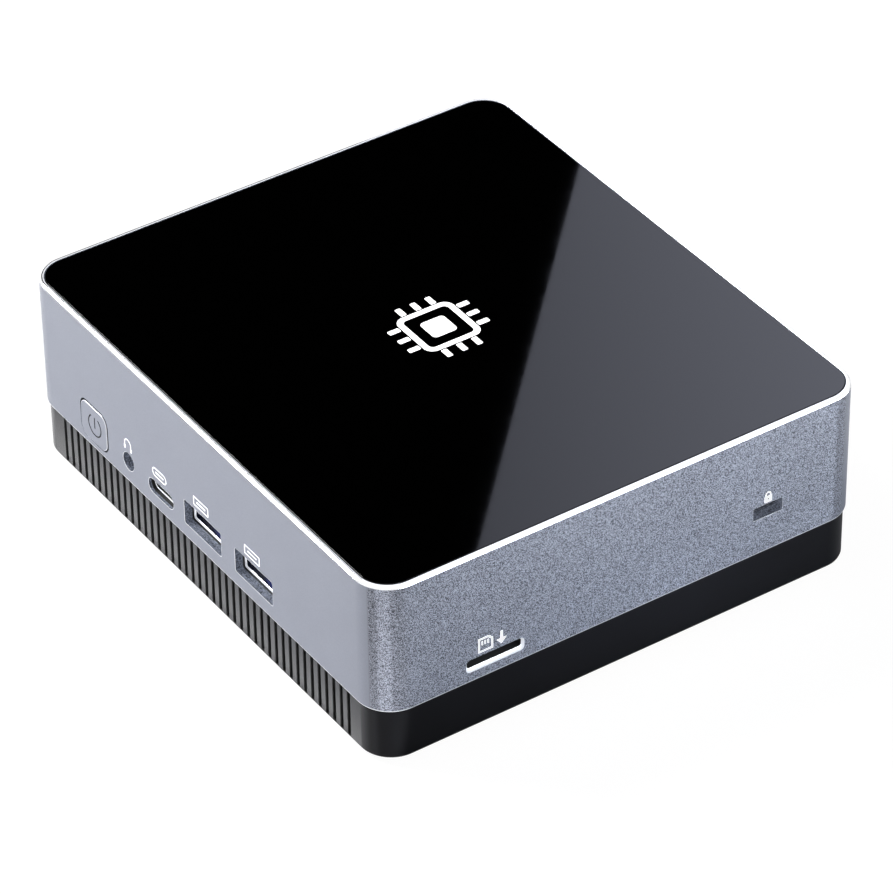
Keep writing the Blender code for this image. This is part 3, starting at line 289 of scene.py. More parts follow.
def smooth(piece, angle=40.0):
    """Smooth shading whose normals lean to the large faces, so that flat walls stay flat."""
    piece.data.shade_smooth()
    piece.data.set_sharp_from_angle(angle=math.radians(angle))
    modifier = piece.modifiers.new("weighted", "WEIGHTED_NORMAL")
    modifier.mode = "FACE_AREA"
    modifier.weight = 50
    modifier.keep_sharp = True
    return piece


def settle(piece, body, slot, *nodes):
    """Gives a finished piece its shading and its body, and hides the nodes it stands for. slot is not used.
    """
    smooth(piece)
    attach(piece, body)
    if nodes:
        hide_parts(*nodes)
    return piece


def middle(name):
    low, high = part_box(name)
    return (low + high) / 2


def facing_front(x, z, face):
    return Matrix.Translation((x, face, z))


def facing_rear(x, z, face):
    return Matrix.Translation((x, face, z)) @ Matrix.Rotation(math.pi, 4, "Z")


def facing_right(y, z, face):
    return Matrix.Translation((face, y, z)) @ Matrix.Rotation(math.pi / 2, 4, "Z")


def facing_up(x, y, face):
    return Matrix.Translation((x, y, face)) @ Matrix.Rotation(-math.pi / 2, 4, "X")


# Materials

SILVER_DARK = (0.10, 0.106, 0.124)
SILVER_LIGHT = (0.50, 0.526, 0.611)
PIT = 0.13 * MM
# Painted reflection bands: levels of the silver walls past the near corner's front end, in mm
# along the screen's level line
SILVER_PAINTED_BANDS = (
    (-4.0, 1.0), (0.0, 0.97), (2.2, 0.86), (2.45, 0.6), (3.6, 0.62), (4.3, 0.98), (6.0, 1.0),
    (6.8, 0.66), (8.8, 0.62), (10.4, 0.8), (12.6, 0.8), (34.0, 0.95), (50.0, 1.02),
)
# Painted sheen bands for the base, set through its specular tint: its ribs, the plain corner after
# them, and the right side, painted dark
BASE_PAINTED_SHEEN_BANDS = (
    (-2.3, 1.0), (-1.9, 0.56), (0.2, 0.46), (1.2, 0.34), (2.3, 0.08), (3.1, 0.26), (4.0, 0.1),
    (7.0, 0.26), (12.0, 0.32), (34.0, 0.5), (52.0, 0.76), (64.0, 1.0),
)
# Past the near corner, in mm along the level line, where the pits' painted light and dark begin
GRAIN_START = (2.35, 2.5)
LEVEL_LINE = (0.5547, 0.832)
# Painted shade on the silver walls that face the rear
REAR_PAINTED_SHADE_LEVEL = 0.66


def principled(name, metallic=0.0, specular=0.5):
    """A new Principled material, with its tree and its shader."""
    made = bpy.data.materials.new(name)
    made.use_nodes = True
    shader = made.node_tree.nodes["Principled BSDF"]
    shader.inputs["Metallic"].default_value = metallic
    shader.inputs["Specular IOR Level"].default_value = specular
    return made, made.node_tree, shader


def coordinates(tree, kind="Object"):
    return tree.nodes.new("ShaderNodeTexCoord").outputs[kind]


def place_of(tree, stretch=(1.0, 1.0, 1.0)):
    """Object coordinates, stretched along the axes."""
    mapping = tree.nodes.new("ShaderNodeMapping")
    mapping.inputs["Scale"].default_value = stretch
    tree.links.new(coordinates(tree), mapping.inputs["Vector"])
    return mapping.outputs["Vector"]


def grain(tree, size, detail=2.0, stretch=(1.0, 1.0, 1.0)):
    """Noise from 0 to 1 whose features are about that size."""
    texture = tree.nodes.new("ShaderNodeTexNoise")
    texture.inputs["Scale"].default_value = 1.0 / size
    texture.inputs["Detail"].default_value = detail
    tree.links.new(place_of(tree, stretch), texture.inputs["Vector"])
    return texture.outputs["Fac"]


def spread(tree, value, low, high, start=0.25, end=0.75):
    """A value brought from start..end to low..high."""
    node = tree.nodes.new("ShaderNodeMapRange")
    node.inputs["From Min"].default_value = start
    node.inputs["From Max"].default_value = end
    node.inputs["To Min"].default_value = low
    node.inputs["To Max"].default_value = high
    tree.links.new(value, node.inputs["Value"])
    return node.outputs["Result"]


def arithmetic(tree, operation, first, second):
    """One sum on two values, each a socket or a number."""
    node = tree.nodes.new("ShaderNodeMath")
    node.operation = operation
    for socket, value in zip(node.inputs, (first, second)):
        if isinstance(value, (int, float)):
            socket.default_value = value
        else:
            tree.links.new(value, socket)
    return node.outputs["Value"]


def tones(tree, share, dark, light):
    """A colour between two tones."""
    node = tree.nodes.new("ShaderNodeMix")
    node.data_type = "RGBA"
    tree.links.new(share, node.inputs["Factor"])
    for socket, colour in zip((node.inputs[6], node.inputs[7]), (dark, light)):
        if isinstance(colour, tuple):
            socket.default_value = (*colour, 1.0)
        else:
            tree.links.new(colour, socket)
    return node.outputs[2]


def parts_of(tree, vector):
    parts = tree.nodes.new("ShaderNodeSeparateXYZ")
    tree.links.new(vector, parts.inputs["Vector"])
    return parts.outputs


def reach_along(tree, point, direction):
    """How far a point lies along a direction."""
    node = tree.nodes.new("ShaderNodeVectorMath")
    node.operation = "DOT_PRODUCT"
    node.inputs[1].default_value = direction
    tree.links.new(point, node.inputs[0])
    return node.outputs["Value"]


def blended(tree, share, first, second):
    """Two shaders mixed by a share."""
    mix = tree.nodes.new("ShaderNodeMixShader")
    for socket, source in zip(mix.inputs, (share, first, second)):
        tree.links.new(source, socket)
    return mix.outputs["Shader"]


def past_corner(tree):
    """How far a point lies past the near corner's front end, in mm along LEVEL_LINE."""
    line = (LEVEL_LINE[0] / MM, LEVEL_LINE[1] / MM, 0.0)
    start = LEVEL_LINE[0] * (RIGHT - CORNER_RADIUS) + LEVEL_LINE[1] * FRONT
    return arithmetic(tree, "SUBTRACT", reach_along(tree, place_of(tree), line), start / MM)


def painted_band_level(tree, past, normal, bands):
    """The level of the painted light band a point lies in. Surfaces that face left or down keep a level of 1.
    """
    ramp = tree.nodes.new("ShaderNodeValToRGB")
    stops = ramp.color_ramp.elements
    stops.remove(stops[1])
    first = bands[0][0]
    last = bands[-1][0]
    for index, (place, level) in enumerate(bands):
        stop = stops[0] if index == 0 else stops.new((place - first) / (last - first))
        stop.color = (level, level, level, 1.0)
    tree.links.new(spread(tree, past, 0.0, 1.0, first, last), ramp.inputs["Fac"])
    not_left = spread(tree, normal["X"], 0.0, 1.0, -0.5, -0.4)
    upright = spread(tree, normal["Z"], 0.0, 1.0, -0.9, -0.5)
    shown = arithmetic(tree, "MULTIPLY", not_left, upright)
    change = arithmetic(tree, "SUBTRACT", ramp.outputs["Color"], 1.0)
    return arithmetic(tree, "ADD", arithmetic(tree, "MULTIPLY", change, shown), 1.0)


def speckle(tree, size):
    """A value from 0 to 1 that jumps from cell to cell of that size."""
    cells = tree.nodes.new("ShaderNodeVectorMath")
    cells.operation = "SNAP"
    cells.inputs[1].default_value = (size, size, size)
    tree.links.new(place_of(tree), cells.inputs[0])
    noise = tree.nodes.new("ShaderNodeTexWhiteNoise")
    tree.links.new(cells.outputs["Vector"], noise.inputs["Vector"])
    return noise.outputs["Value"]


def facing(tree):
    """The parts of the surface's direction."""
    return parts_of(tree, tree.nodes.new("ShaderNodeNewGeometry").outputs["Normal"])


def relief(tree, shader, height, depth):
    """Bump of that depth in metres from a height of 0 to 1."""
    node = tree.nodes.new("ShaderNodeBump")
    node.inputs["Strength"].default_value = 1.0
    node.inputs["Distance"].default_value = depth
    tree.links.new(height, node.inputs["Height"])
    tree.links.new(node.outputs["Normal"], shader.inputs["Normal"])


def finish(
    name, dark, light, roughness, metallic=0.0, specular=0.5, size=0.3 * MM, depth=2e-6,
    stretch=(1.0, 1.0, 1.0), detail=3.0,
):
    """A surface with one grain that moves its colour, its roughness and its relief together."""
    known = bpy.data.materials.get(name)
    if known:
        return known
    made, tree, shader = principled(name, metallic=metallic, specular=specular)
    fine = grain(tree, size, detail, stretch)
    wide = grain(tree, 40 * size, 2.0)
    both = arithmetic(
        tree, "ADD", arithmetic(tree, "MULTIPLY", fine, 0.7), arithmetic(tree, "MULTIPLY", wide, 0.3)
    )
    tree.links.new(tones(tree, spread(tree, both, 0.0, 1.0), dark, light), shader.inputs["Base Color"])
    tree.links.new(spread(tree, both, *roughness), shader.inputs["Roughness"])
    relief(tree, shader, fine, depth)
    return made


def glowing(made, colour, strength):
    """Adds a faint glow, which stands for the light that a narrow surface gathers."""
    shader = made.node_tree.nodes["Principled BSDF"]
    shader.inputs["Emission Color"].default_value = (*colour, 1.0)
    shader.inputs["Emission Strength"].default_value = strength
    return made


def satin_edge(name, dark, light, roughness, strength, tint=(0.9, 0.93, 1.0), metallic=1.0):
    """A narrow satin surface with a painted glow, which stands for the light it catches from all sides."""
    made = finish(name, dark, light, roughness, metallic=metallic, size=0.3 * MM, depth=3e-7)
    return glowing(made, tint, strength)


def anodised():
    """Bead-blasted and anodised aluminium.

    Its pits are painted in strong light and dark only on the walls that face right, from the near
    corner to the rear corner, where light grazes them. The near corner carries painted reflection
    bands of light and dark, and the right wall grows lighter to the rear and towards the bottom:
    painted light. Walls that face the rear get painted shade.
    """
    known = bpy.data.materials.get("anodised_aluminium")
    if known:
        return known
    made, tree, shader = principled("anodised_aluminium", metallic=1.0)
    normal = facing(tree)
    past = past_corner(tree)
    # Painted light: the pits' light and dark are strong only on walls that face right, past the near corner.
    turned_right = spread(tree, normal["X"], 0.0, 1.0, 0.04, 0.08)
    before_rear = spread(tree, normal["Y"], 1.0, 0.1, 0.36, 0.42)
    on_right = arithmetic(tree, "MULTIPLY", turned_right, spread(tree, past, 0.0, 1.0, *GRAIN_START))
    shown = arithmetic(tree, "MULTIPLY", on_right, before_rear)
    strength = spread(tree, shown, 0.04, 1.0, 0.0, 1.0)
    pits = spread(tree, speckle(tree, PIT), -0.5, 0.5, 0.3, 0.7)
    speck = arithmetic(tree, "MULTIPLY", pits, strength)
    tone = tones(tree, arithmetic(tree, "ADD", speck, 0.5), SILVER_DARK, SILVER_LIGHT)
    # Painted light: the right wall is made up to 16 % lighter towards its bottom.
    lower = spread(tree, parts_of(tree, place_of(tree))["Z"], 0.16, 0.0, 15 * MM, 38 * MM)
    rise = arithmetic(tree, "ADD", arithmetic(tree, "MULTIPLY", lower, on_right), 1.0)
    # Painted shade: walls that face the rear are darkened by about a third.
    at_rear = spread(tree, normal["Y"], 1.0, REAR_PAINTED_SHADE_LEVEL, 0.02, 0.12)
    level = arithmetic(tree, "MULTIPLY", painted_band_level(tree, past, normal, SILVER_PAINTED_BANDS), at_rear)
    toned = tree.nodes.new("ShaderNodeVectorMath")
    toned.operation = "SCALE"
    tree.links.new(tone, toned.inputs[0])
    tree.links.new(arithmetic(tree, "MULTIPLY", level, rise), toned.inputs["Scale"])
    tree.links.new(toned.outputs["Vector"], shader.inputs["Base Color"])
    tree.links.new(spread(tree, grain(tree, 12 * MM), 0.40, 0.44), shader.inputs["Roughness"])
    relief(tree, shader, speck, 6e-6)
    return made


def polished_edge():
    """Aluminium cut with a diamond tool: bright, with faint tool marks and a faint painted glow."""
    made = finish(
        "polished_edge", (0.88, 0.885, 0.90), (0.95, 0.955, 0.96), (0.05, 0.09),
        metallic=1.0, size=0.5 * MM, depth=3e-7, stretch=(1.0, 1.0, 6.0),
    )
    # Painted light: a faint glow keeps the chamfer bright.
    return glowing(made, (0.95, 0.97, 1.0), 0.15)


def cut_edge():
    """The fine bright line round each cut-out: satin metal with a painted glow."""
    return satin_edge("satin_edge", (0.88, 0.885, 0.90), (0.95, 0.955, 0.96), (0.36, 0.46), 0.15)


def milled_wall():
    """The milled inner walls of the cut-outs: coarser than the outside, and darker, which is painted shade.

    A faint glow stands for the light that they pass to each other.
    """
    known = bpy.data.materials.get("milled_aluminium")
    if known:
        return known
    made, tree, shader = principled("milled_aluminium", metallic=0.5)
    pits = speckle(tree, 0.2 * MM)
    tone = tones(tree, pits, (0.012, 0.014, 0.02), (0.125, 0.14, 0.18))
    tree.links.new(tone, shader.inputs["Base Color"])
    tree.links.new(spread(tree, pits, 0.45, 0.6, 0.0, 1.0), shader.inputs["Roughness"])
    tree.links.new(tone, shader.inputs["Emission Color"])
    shader.inputs["Emission Strength"].default_value = 0.9
    relief(tree, shader, pits, 8e-6)
    return made


def rolled_lip():
    """The bright rolled edge of a connector's shell, kept bright by a painted glow."""
    dark, light = (0.86, 0.86, 0.88), (0.93, 0.93, 0.94)
    return satin_edge("rolled_steel_lip", dark, light, (0.35, 0.5), 0.45, metallic=0.7)


def button_edge():
    """The button's rounded edge, a little darker than the cut-outs' lines, with a painted glow."""
    return satin_edge("button_edge", (0.52, 0.53, 0.56), (0.62, 0.63, 0.66), (0.38, 0.46), 0.2)


def rim_flat():
    """The narrow flat on the rim, between the bright chamfer and the panel, with a painted glow."""
    dark, light = (0.64, 0.645, 0.66), (0.72, 0.725, 0.74)
    return satin_edge("rim_flat", dark, light, (0.34, 0.42), 0.42, (0.97, 0.98, 1.0))


def rim_crease():
    """The fine step between chamfer and flat: painted shade along the front, a painted highlight along the
    right.
    """
    made, tree, shader = principled("rim_crease", metallic=0.9)
    past = past_corner(tree)
    marks = arithmetic(tree, "MULTIPLY", speckle(tree, 0.3 * MM), 0.06)
    # Painted shade to painted highlight, set by how far the point lies past the near corner.
    share = arithmetic(tree, "ADD", spread(tree, past, 0.0, 0.94, -1.0, 4.0), marks)
    tone = tones(tree, share, (0.012, 0.012, 0.014), (0.92, 0.925, 0.94))
    tree.links.new(tone, shader.inputs["Base Color"])
    tree.links.new(spread(tree, marks, 0.4, 0.5, 0.0, 0.06), shader.inputs["Roughness"])
    return made


def gloss_black():
    """The black panel: glossy and nearly without relief. Painted shade mutes it at the lowest glances."""
    made = finish(
        "gloss_black", (0.0001, 0.0001, 0.0001), (0.0002, 0.0002, 0.0002), (0.015, 0.03),
        size=3.0 * MM, depth=1e-7,
    )
    tree = made.node_tree
    # Painted shade: at low glances the panel turns into this near-black matt surface, dimming its
    # reflections.
    glancing_shade = tree.nodes.new("ShaderNodeBsdfDiffuse")
    glancing_shade.inputs["Color"].default_value = (0.004, 0.004, 0.0045, 1.0)
    glance = tree.nodes.new("ShaderNodeLayerWeight").outputs["Facing"]
    share = spread(tree, glance, 0.0, 0.93, 0.58, 0.7)
    muted = blended(tree, share, tree.nodes["Principled BSDF"].outputs["BSDF"], glancing_shade.outputs["BSDF"])
    tree.links.new(muted, tree.nodes["Material Output"].inputs["Surface"])
    return made


def panel_edge():
    """The panel's ground edge, near black and casting almost nothing back: painted shade in the gap at the
    rim.
    """
    return finish(
        "panel_gap_shade", (0.001, 0.001, 0.001), (0.003, 0.003, 0.003), (0.5, 0.7),
        specular=0.04, size=0.2 * MM, depth=1e-6,
    )


def white_ink():
    """Bright white print. Its glow keeps it white on the walls that face away from the light."""
    made = finish(
        "white_ink", (0.82, 0.82, 0.83), (0.9, 0.9, 0.91), (0.4, 0.55), size=0.1 * MM, depth=1e-6,
    )
    return glowing(made, (1.0, 1.0, 1.0), 0.7)


def moulded_black():
    """The base's moulded plastic: the fine texture of its mould, and a painted sheen that fades on the right.
    """
    known = bpy.data.materials.get("moulded_black")
    if known:
        return known
    made = finish(
        "moulded_black", (0.0022, 0.0023, 0.003), (0.004, 0.0042, 0.0052), (0.18, 0.25),
        size=0.15 * MM, depth=3e-6,
    )
    tree = made.node_tree
    past = past_corner(tree)
    normal = facing(tree)
    level = painted_band_level(tree, past, normal, BASE_PAINTED_SHEEN_BANDS)
    left_end = LEVEL_LINE[0] * (FIRST_RIB - RIGHT + CORNER_RADIUS) / MM
    # Painted sheen: the plain front beside the ribs is given a duller sheen.
    beside_ribs = spread(tree, past, 0.74, 0.0, left_end - 0.1, left_end + 0.1)
    to_front = spread(tree, normal["X"], 0.0, 1.0, -0.9, -0.75)
    plain = arithmetic(tree, "SUBTRACT", 1.0, arithmetic(tree, "MULTIPLY", beside_ribs, to_front))
    share = arithmetic(tree, "MULTIPLY", level, plain)
    # The painted sheen: reflection strength set by place, through the specular tint.
    sheen = tones(tree, share, (0.0, 0.0, 0.0), (0.82, 0.85, 1.0))
    tree.links.new(sheen, tree.nodes["Principled BSDF"].inputs["Specular Tint"])
    return made


def rubber():
    return finish(
        "rubber_foot", (0.012, 0.012, 0.012), (0.03, 0.03, 0.03), (0.7, 0.9), size=0.25 * MM, depth=2e-5,
    )


def plated_steel():
    """Nickel-plated sheet with rolling marks."""
    return finish(
        "plated_sheet", (0.60, 0.60, 0.61), (0.78, 0.78, 0.79), (0.2, 0.34),
        metallic=1.0, size=0.25 * MM, depth=1e-6, stretch=(0.2, 0.2, 2.0),
    )


def blackened_steel():
    return finish(
        "blackened_sheet", (0.018, 0.018, 0.02), (0.05, 0.05, 0.052), (0.35, 0.55),
        metallic=0.8, size=0.2 * MM, depth=4e-6,
    )


def navy_insulator():
    """Dark blue plastic with painted shade over its left part and a faint painted glow."""
    known = bpy.data.materials.get("navy_insulator")
    if known:
        return known
    made = finish(
        "navy_insulator", (0.006, 0.012, 0.10), (0.014, 0.028, 0.22), (0.45, 0.6),
        specular=0.2, size=0.2 * MM, depth=3e-6,
    )
    tree = made.node_tree
    shader = tree.nodes["Principled BSDF"]
    moulded = shader.inputs["Base Color"].links[0].from_socket
    # Painted shade: the left part of the piece fades to near black.
    lit = spread(tree, parts_of(tree, coordinates(tree, "Generated"))["X"], 0.05, 1.0, 0.45, 0.92)
    shaded = tones(tree, lit, (0.0006, 0.0008, 0.002), moulded)
    tree.links.new(shaded, shader.inputs["Base Color"])
    # Painted light: the plastic glows faintly in its own colour.
    tree.links.new(shaded, shader.inputs["Emission Color"])
    shader.inputs["Emission Strength"].default_value = 0.45
    return made


def black_insulator():
    return finish(
        "dark_insulator", (0.008, 0.008, 0.009), (0.018, 0.018, 0.02), (0.35, 0.5),
        size=0.2 * MM, depth=4e-6,
    )


def gold_contact():
    return finish(
        "gold_contact", (0.75, 0.50, 0.16), (0.92, 0.68, 0.28), (0.18, 0.3),
        metallic=1.0, size=0.2 * MM, depth=1e-6, stretch=(1.0, 0.2, 1.0),
    )


def brass():
    return finish(
        "brass_insert", (0.55, 0.38, 0.13), (0.78, 0.58, 0.26), (0.25, 0.4),
        metallic=1.0, size=0.3 * MM, depth=3e-6,
    )


def copper():
    return finish(
        "copper_plate", (0.52, 0.21, 0.10), (0.78, 0.38, 0.22), (0.25, 0.42),
        metallic=1.0, size=0.5 * MM, depth=3e-6, stretch=(0.3, 2.0, 2.0),
    )


def bare_aluminium():
    return finish(
        "bare_aluminium", (0.66, 0.67, 0.68), (0.82, 0.83, 0.84), (0.25, 0.4),
        metallic=1.0, size=0.25 * MM, depth=2e-6, stretch=(0.2, 2.0, 2.0),
    )


def shadow_black():
    """Painted shade: black put where only shade lies, in slots, grooves, gaps and engravings."""
    return finish(
        "painted_shade_black", (0.001, 0.001, 0.001), (0.003, 0.003, 0.003), (0.6, 0.8), size=0.3 * MM, depth=2e-6,
    )


def circuit_board():
    """Solder mask over copper traces, with bright pads where the mask is open."""
    known = bpy.data.materials.get("solder_mask")
    if known:
        return known
    made, tree, shader = principled("solder_mask")
    traces = tree.nodes.new("ShaderNodeTexBrick")
    traces.inputs["Scale"].default_value = 1.0 / (4.0 * MM)
    traces.inputs["Mortar Size"].default_value = 0.06
    traces.inputs["Color1"].default_value = (0.0, 0.0, 0.0, 1.0)
    traces.inputs["Color2"].default_value = (0.25, 0.25, 0.25, 1.0)
    traces.inputs["Mortar"].default_value = (1.0, 1.0, 1.0, 1.0)
    tree.links.new(place_of(tree, (1.0, 1.7, 1.0)), traces.inputs["Vector"])
    pads = tree.nodes.new("ShaderNodeTexVoronoi")
    pads.inputs["Scale"].default_value = 1.0 / (2.2 * MM)
    pads.inputs["Randomness"].default_value = 0.6
    tree.links.new(place_of(tree), pads.inputs["Vector"])
    is_pad = arithmetic(tree, "LESS_THAN", pads.outputs["Distance"], 0.14)
    mask = tones(tree, traces.outputs["Color"], (0.004, 0.022, 0.014), (0.010, 0.055, 0.032))
    cloud = spread(tree, grain(tree, 6 * MM), 0.0, 0.35)
    toned = tones(tree, cloud, mask, (0.003, 0.012, 0.010))
    tree.links.new(tones(tree, is_pad, toned, (0.70, 0.62, 0.42)), shader.inputs["Base Color"])
    tree.links.new(is_pad, shader.inputs["Metallic"])
    tree.links.new(spread(tree, grain(tree, 0.5 * MM), 0.28, 0.45), shader.inputs["Roughness"])
    relief(tree, shader, traces.outputs["Color"], 1.5e-5)
    return made


def package_resin():
    """A chip's moulded resin or substrate."""
    return finish(
        "package_resin", (0.012, 0.03, 0.024), (0.022, 0.05, 0.04), (0.4, 0.6), size=0.12 * MM, depth=4e-6,
    )


def winding():
    """The motor's wire, seen as fine copper turns."""
    return finish(
        "copper_winding", (0.30, 0.09, 0.03), (0.70, 0.32, 0.14), (0.25, 0.45),
        metallic=0.9, size=0.5 * MM, depth=4e-5, stretch=(0.15, 0.15, 3.0),
    )


def light_pipe(name, dark, light):
    """A small tinted window for a status light."""
    return finish(name, dark, light, (0.15, 0.3), size=0.4 * MM, depth=1e-6)


# Housing

BLASTED, BRIGHT, MILLED, SATIN, DARK, FLAT, CREASE = range(7)


def plan_solid(name, profile, looks, slots):
    """A solid with the plan of the case, from heights and insets. slots names each band's look."""
    shape = bmesh.new()
    rings = [on_plane(case_outline(inset), "Z", z) for z, inset in profile]
    add_skin(shape, rings, slots)
    return add_object(name, shape, looks)


def opening(name, outline, place, depth, looks, edge=EDGE, centres=((0.0, 0.0),), shade=None):
    """Cutters through a wall with a shallow chamfer at its face, and painted shade, a black wall, deeper than
    shade.

    outline gives an outline for a growth.
    """
    shape = bmesh.new()
    above = 0.06 * MM
    steep = 0.3
    for centre in centres:
        rings = [
            on_plane(outline(edge + above / steep), "Y", -above, centre),
            on_plane(outline(0.0), "Y", steep * edge, centre),
            on_plane(outline(0.0), "Y", shade or 0.8 * depth, centre),
            on_plane(outline(0.0), "Y", depth, centre),
        ]
        # Painted shade: the deepest band takes the black DARK look.
        add_skin(shape, rings, (SATIN, MILLED, DARK))
    return add_object(name, shape, looks, place)


def rounded(width, height, radius, steps=STEPS):
    """A function that gives a rounded rectangle for a growth."""
    return lambda grow: rounded_outline(width + 2 * grow, height + 2 * grow, radius + grow, steps)


def circle(radius, sides=SIDES):
    return lambda grow: circle_outline(radius + grow, sides)


def card_mouth(looks):
    """The cutter for the card slot's mouth: its lower lip and its ends slope out to the face."""
    low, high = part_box("card_socket")
    y = (low.y + high.y) / 2
    roof = (low.z + high.z) / 2 + 0.8 * MM
    depth = 0.3 * MM
    above = 0.06 * MM
    shape = bmesh.new()
    rings = []
    for level, width, height, shift, radius in (
        (-above, 13.7 * MM, 3.5 * MM, 0.0, 1.2 * MM),
        (0.0, 13.3 * MM, 3.08 * MM, 0.0, 1.0 * MM),
        (depth, 12.3 * MM, 1.85 * MM, -0.2 * MM, 0.6 * MM),
        (WALL + 1 * MM, 12.3 * MM, 1.85 * MM, -0.2 * MM, 0.6 * MM),
    ):
        rise = 0.18 * MM if level <= 0.0 else 0.0
        centre = (shift, roof + rise - height / 2)
        rings.append(on_plane(rounded_outline(width, height, radius), "Y", level, centre))
    # The slot's deep part takes the DARK look: painted shade.
    add_skin(shape, rings, (SATIN, SATIN, DARK))
    return add_object("card_mouth", shape, looks, facing_right(y, 0.0, RIGHT))


def button_place():
    """The middle of the button's face. Its flange ends 1 mm above the cap."""
    low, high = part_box("power_button")
    return (low.x + high.x) / 2, high.z - 5.5 * MM


def housing_cutters(looks):
    depth = WALL + 1 * MM
    button_x, button_z = button_place()
    usb_1 = middle("usb_a_front_1_shell")
    usb_2 = middle("usb_a_front_2_shell")
    usb_c = middle("usb_c_front_shell")
    jack_x = middle("audio_jack").x
    jack_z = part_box("audio_jack")[0].z + 2.5 * MM
    lock = middle("lock_plate")
    at_front = facing_front(0.0, 0.0, FRONT)
    window_height = PLATE_HIGH - PLATE_LOW + 2 * GAP
    shift = -0.15 * MM
    return [
        opening(
            "cut_button", rounded(10.5 * MM, 9.3 * MM, 2.5 * MM, 10), at_front, depth,
            [looks[BLASTED]] * len(looks), 0.02 * MM, [(button_x + shift, button_z + shift)],
        ),
        opening("cut_jack", circle(2.05 * MM), at_front, depth, looks, EDGE, [(jack_x, jack_z)]),
        opening(
            "cut_usb_c", rounded(9.3 * MM, 3.4 * MM, 1.69 * MM, 12), at_front, depth, looks,
            EDGE, [(usb_c.x, usb_c.z)], 0.65 * MM,
        ),
        opening(
            "cut_usb_a", rounded(13.3 * MM, 5.7 * MM, 0.5 * MM), at_front, depth, looks,
            EDGE, [(usb_1.x, usb_1.z), (usb_2.x, usb_2.z)], 1.75 * MM,
        ),
        opening(
            "cut_lock", rounded(7.0 * MM, 3.0 * MM, 0.35 * MM), facing_right(0.0, 0.0, RIGHT), depth,
            looks, 0.1 * MM, [(lock.y, lock.z)],
        ),
        card_mouth(looks),
        opening(
            "cut_window", rounded(2 * (PLATE_HALF + GAP), window_height, 1.5 * MM),
            facing_rear(0.0, (PLATE_LOW + PLATE_HIGH) / 2, BACK), depth, looks, 0.25 * MM,
        ),
    ]


def post_places(inner):
    """Where the posts stand: over the cover screws, or over the board screws."""
    names = ["board_screw_1", "board_screw_2"] if inner else [f"cover_screw_{i}" for i in range(1, 5)]
    return [(middle(name).x, middle(name).y) for name in names]


def make_housing():
    """The one-piece aluminium housing: blasted walls, a diamond-cut rim and edged cut-outs."""
    looks = [anodised(), polished_edge(), milled_wall(), cut_edge(), shadow_black(), rim_flat(), rim_crease()]
    soft = 0.06 * MM
    profile = [
        (DECK_LOW, WALL),
        (CASE_LOW.z + 0.3 * MM, WALL),
        (CASE_LOW.z, WALL - 0.3 * MM),
        (CASE_LOW.z, LOWER_ROUND + INK),
        (CASE_LOW.z + 0.13 * LOWER_ROUND, 0.5 * LOWER_ROUND + INK),
        (CASE_LOW.z + 0.5 * LOWER_ROUND, 0.13 * LOWER_ROUND + INK),
        (CASE_LOW.z + LOWER_ROUND, INK),
        (TOP - RIM_DROP - soft, INK),
        (TOP - RIM_DROP + soft / 2, INK + soft / 2),
        (TOP - INK - soft / 2, RIM_CHAMFER),
        (TOP - INK, RIM_CHAMFER + RIM_CREASE),
        (TOP - INK, RIM_INSIDE - soft / 2),
        (TOP - INK - soft / 2, RIM_INSIDE),
        (DECK_HIGH, RIM_INSIDE),
    ]
    # Painted light and shade: the lower round, the chamfer and the rim's flat glow, the crease is painted
    # dark and bright, and the milled walls are painted darker.
    bands = [MILLED] * 3 + [SATIN] * 3 + [BLASTED] + [BRIGHT] * 2 + [CREASE, FLAT, FLAT, MILLED]
    housing = plan_solid("housing_shell", profile, looks, bands)
    corner_posts = bmesh.new()
    pilots = bmesh.new()
    root = DECK_LOW + 0.7 * MM
    for inner, radius, bore in ((False, 3.0 * MM, 1.6 * MM), (True, 2.6 * MM, 1.3 * MM)):
        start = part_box("mainboard")[1].z + GAP if inner else CASE_LOW.z + 1.4 * MM
        for centre in post_places(inner):
            add_prism(corner_posts, circle_outline(radius, 32), "Z", start, root, centre, MILLED)
            add_prism(pilots, circle_outline(bore, 32), "Z", start - 1 * MM, start + 9 * MM, centre, MILLED)
    posts = add_object("posts", corner_posts, looks)
    holes = add_object("pilots", pilots, looks)
    carve(housing, [*housing_cutters(looks)])
    carve(housing, [holes], [posts])
    return settle(housing, "case", "anodised_silver", "top_housing")


def make_panel():
    """The black panel in the rim, with a bevelled edge."""
    inset = RIM_INSIDE + PANEL_GAP
    bevel = 0.1 * MM
    soft = 0.03 * MM
    profile = [
        (DECK_HIGH + GAP, inset + soft),
        (DECK_HIGH + GAP + soft, inset),
        (TOP - INK - bevel - soft, inset),
        (TOP - INK - bevel + soft, inset + soft / 2),
        (TOP - INK - soft / 2, inset + bevel - soft),
        (TOP - INK, inset + bevel),
    ]
    panel = plan_solid("gloss_panel", profile, [gloss_black(), panel_edge()], (1, 1, 1, 1, 0))
    return settle(panel, "case", "black_panel", "top_panel")


# Prints


def settle_print(name, shape, place, body="case", slot="anodised_silver"):
    return settle(add_object(name, shape, [white_ink()], place), body, slot)


def add_area(shape, outline, centre=(0.0, 0.0)):
    """One flat area of ink. It starts just inside the surface under it."""
    add_prism(shape, outline, "Y", 0.0, INK + 0.01 * MM, centre)


def add_line(shape, outer, inner, centre=(0.0, 0.0)):
    """An outline of ink, between two outlines."""
    add_frame(shape, outer, inner, 0.0, INK + 0.01 * MM, centre)


def bar(width, height):
    return rounded_outline(width, height, 0.2 * min(width, height), 2)


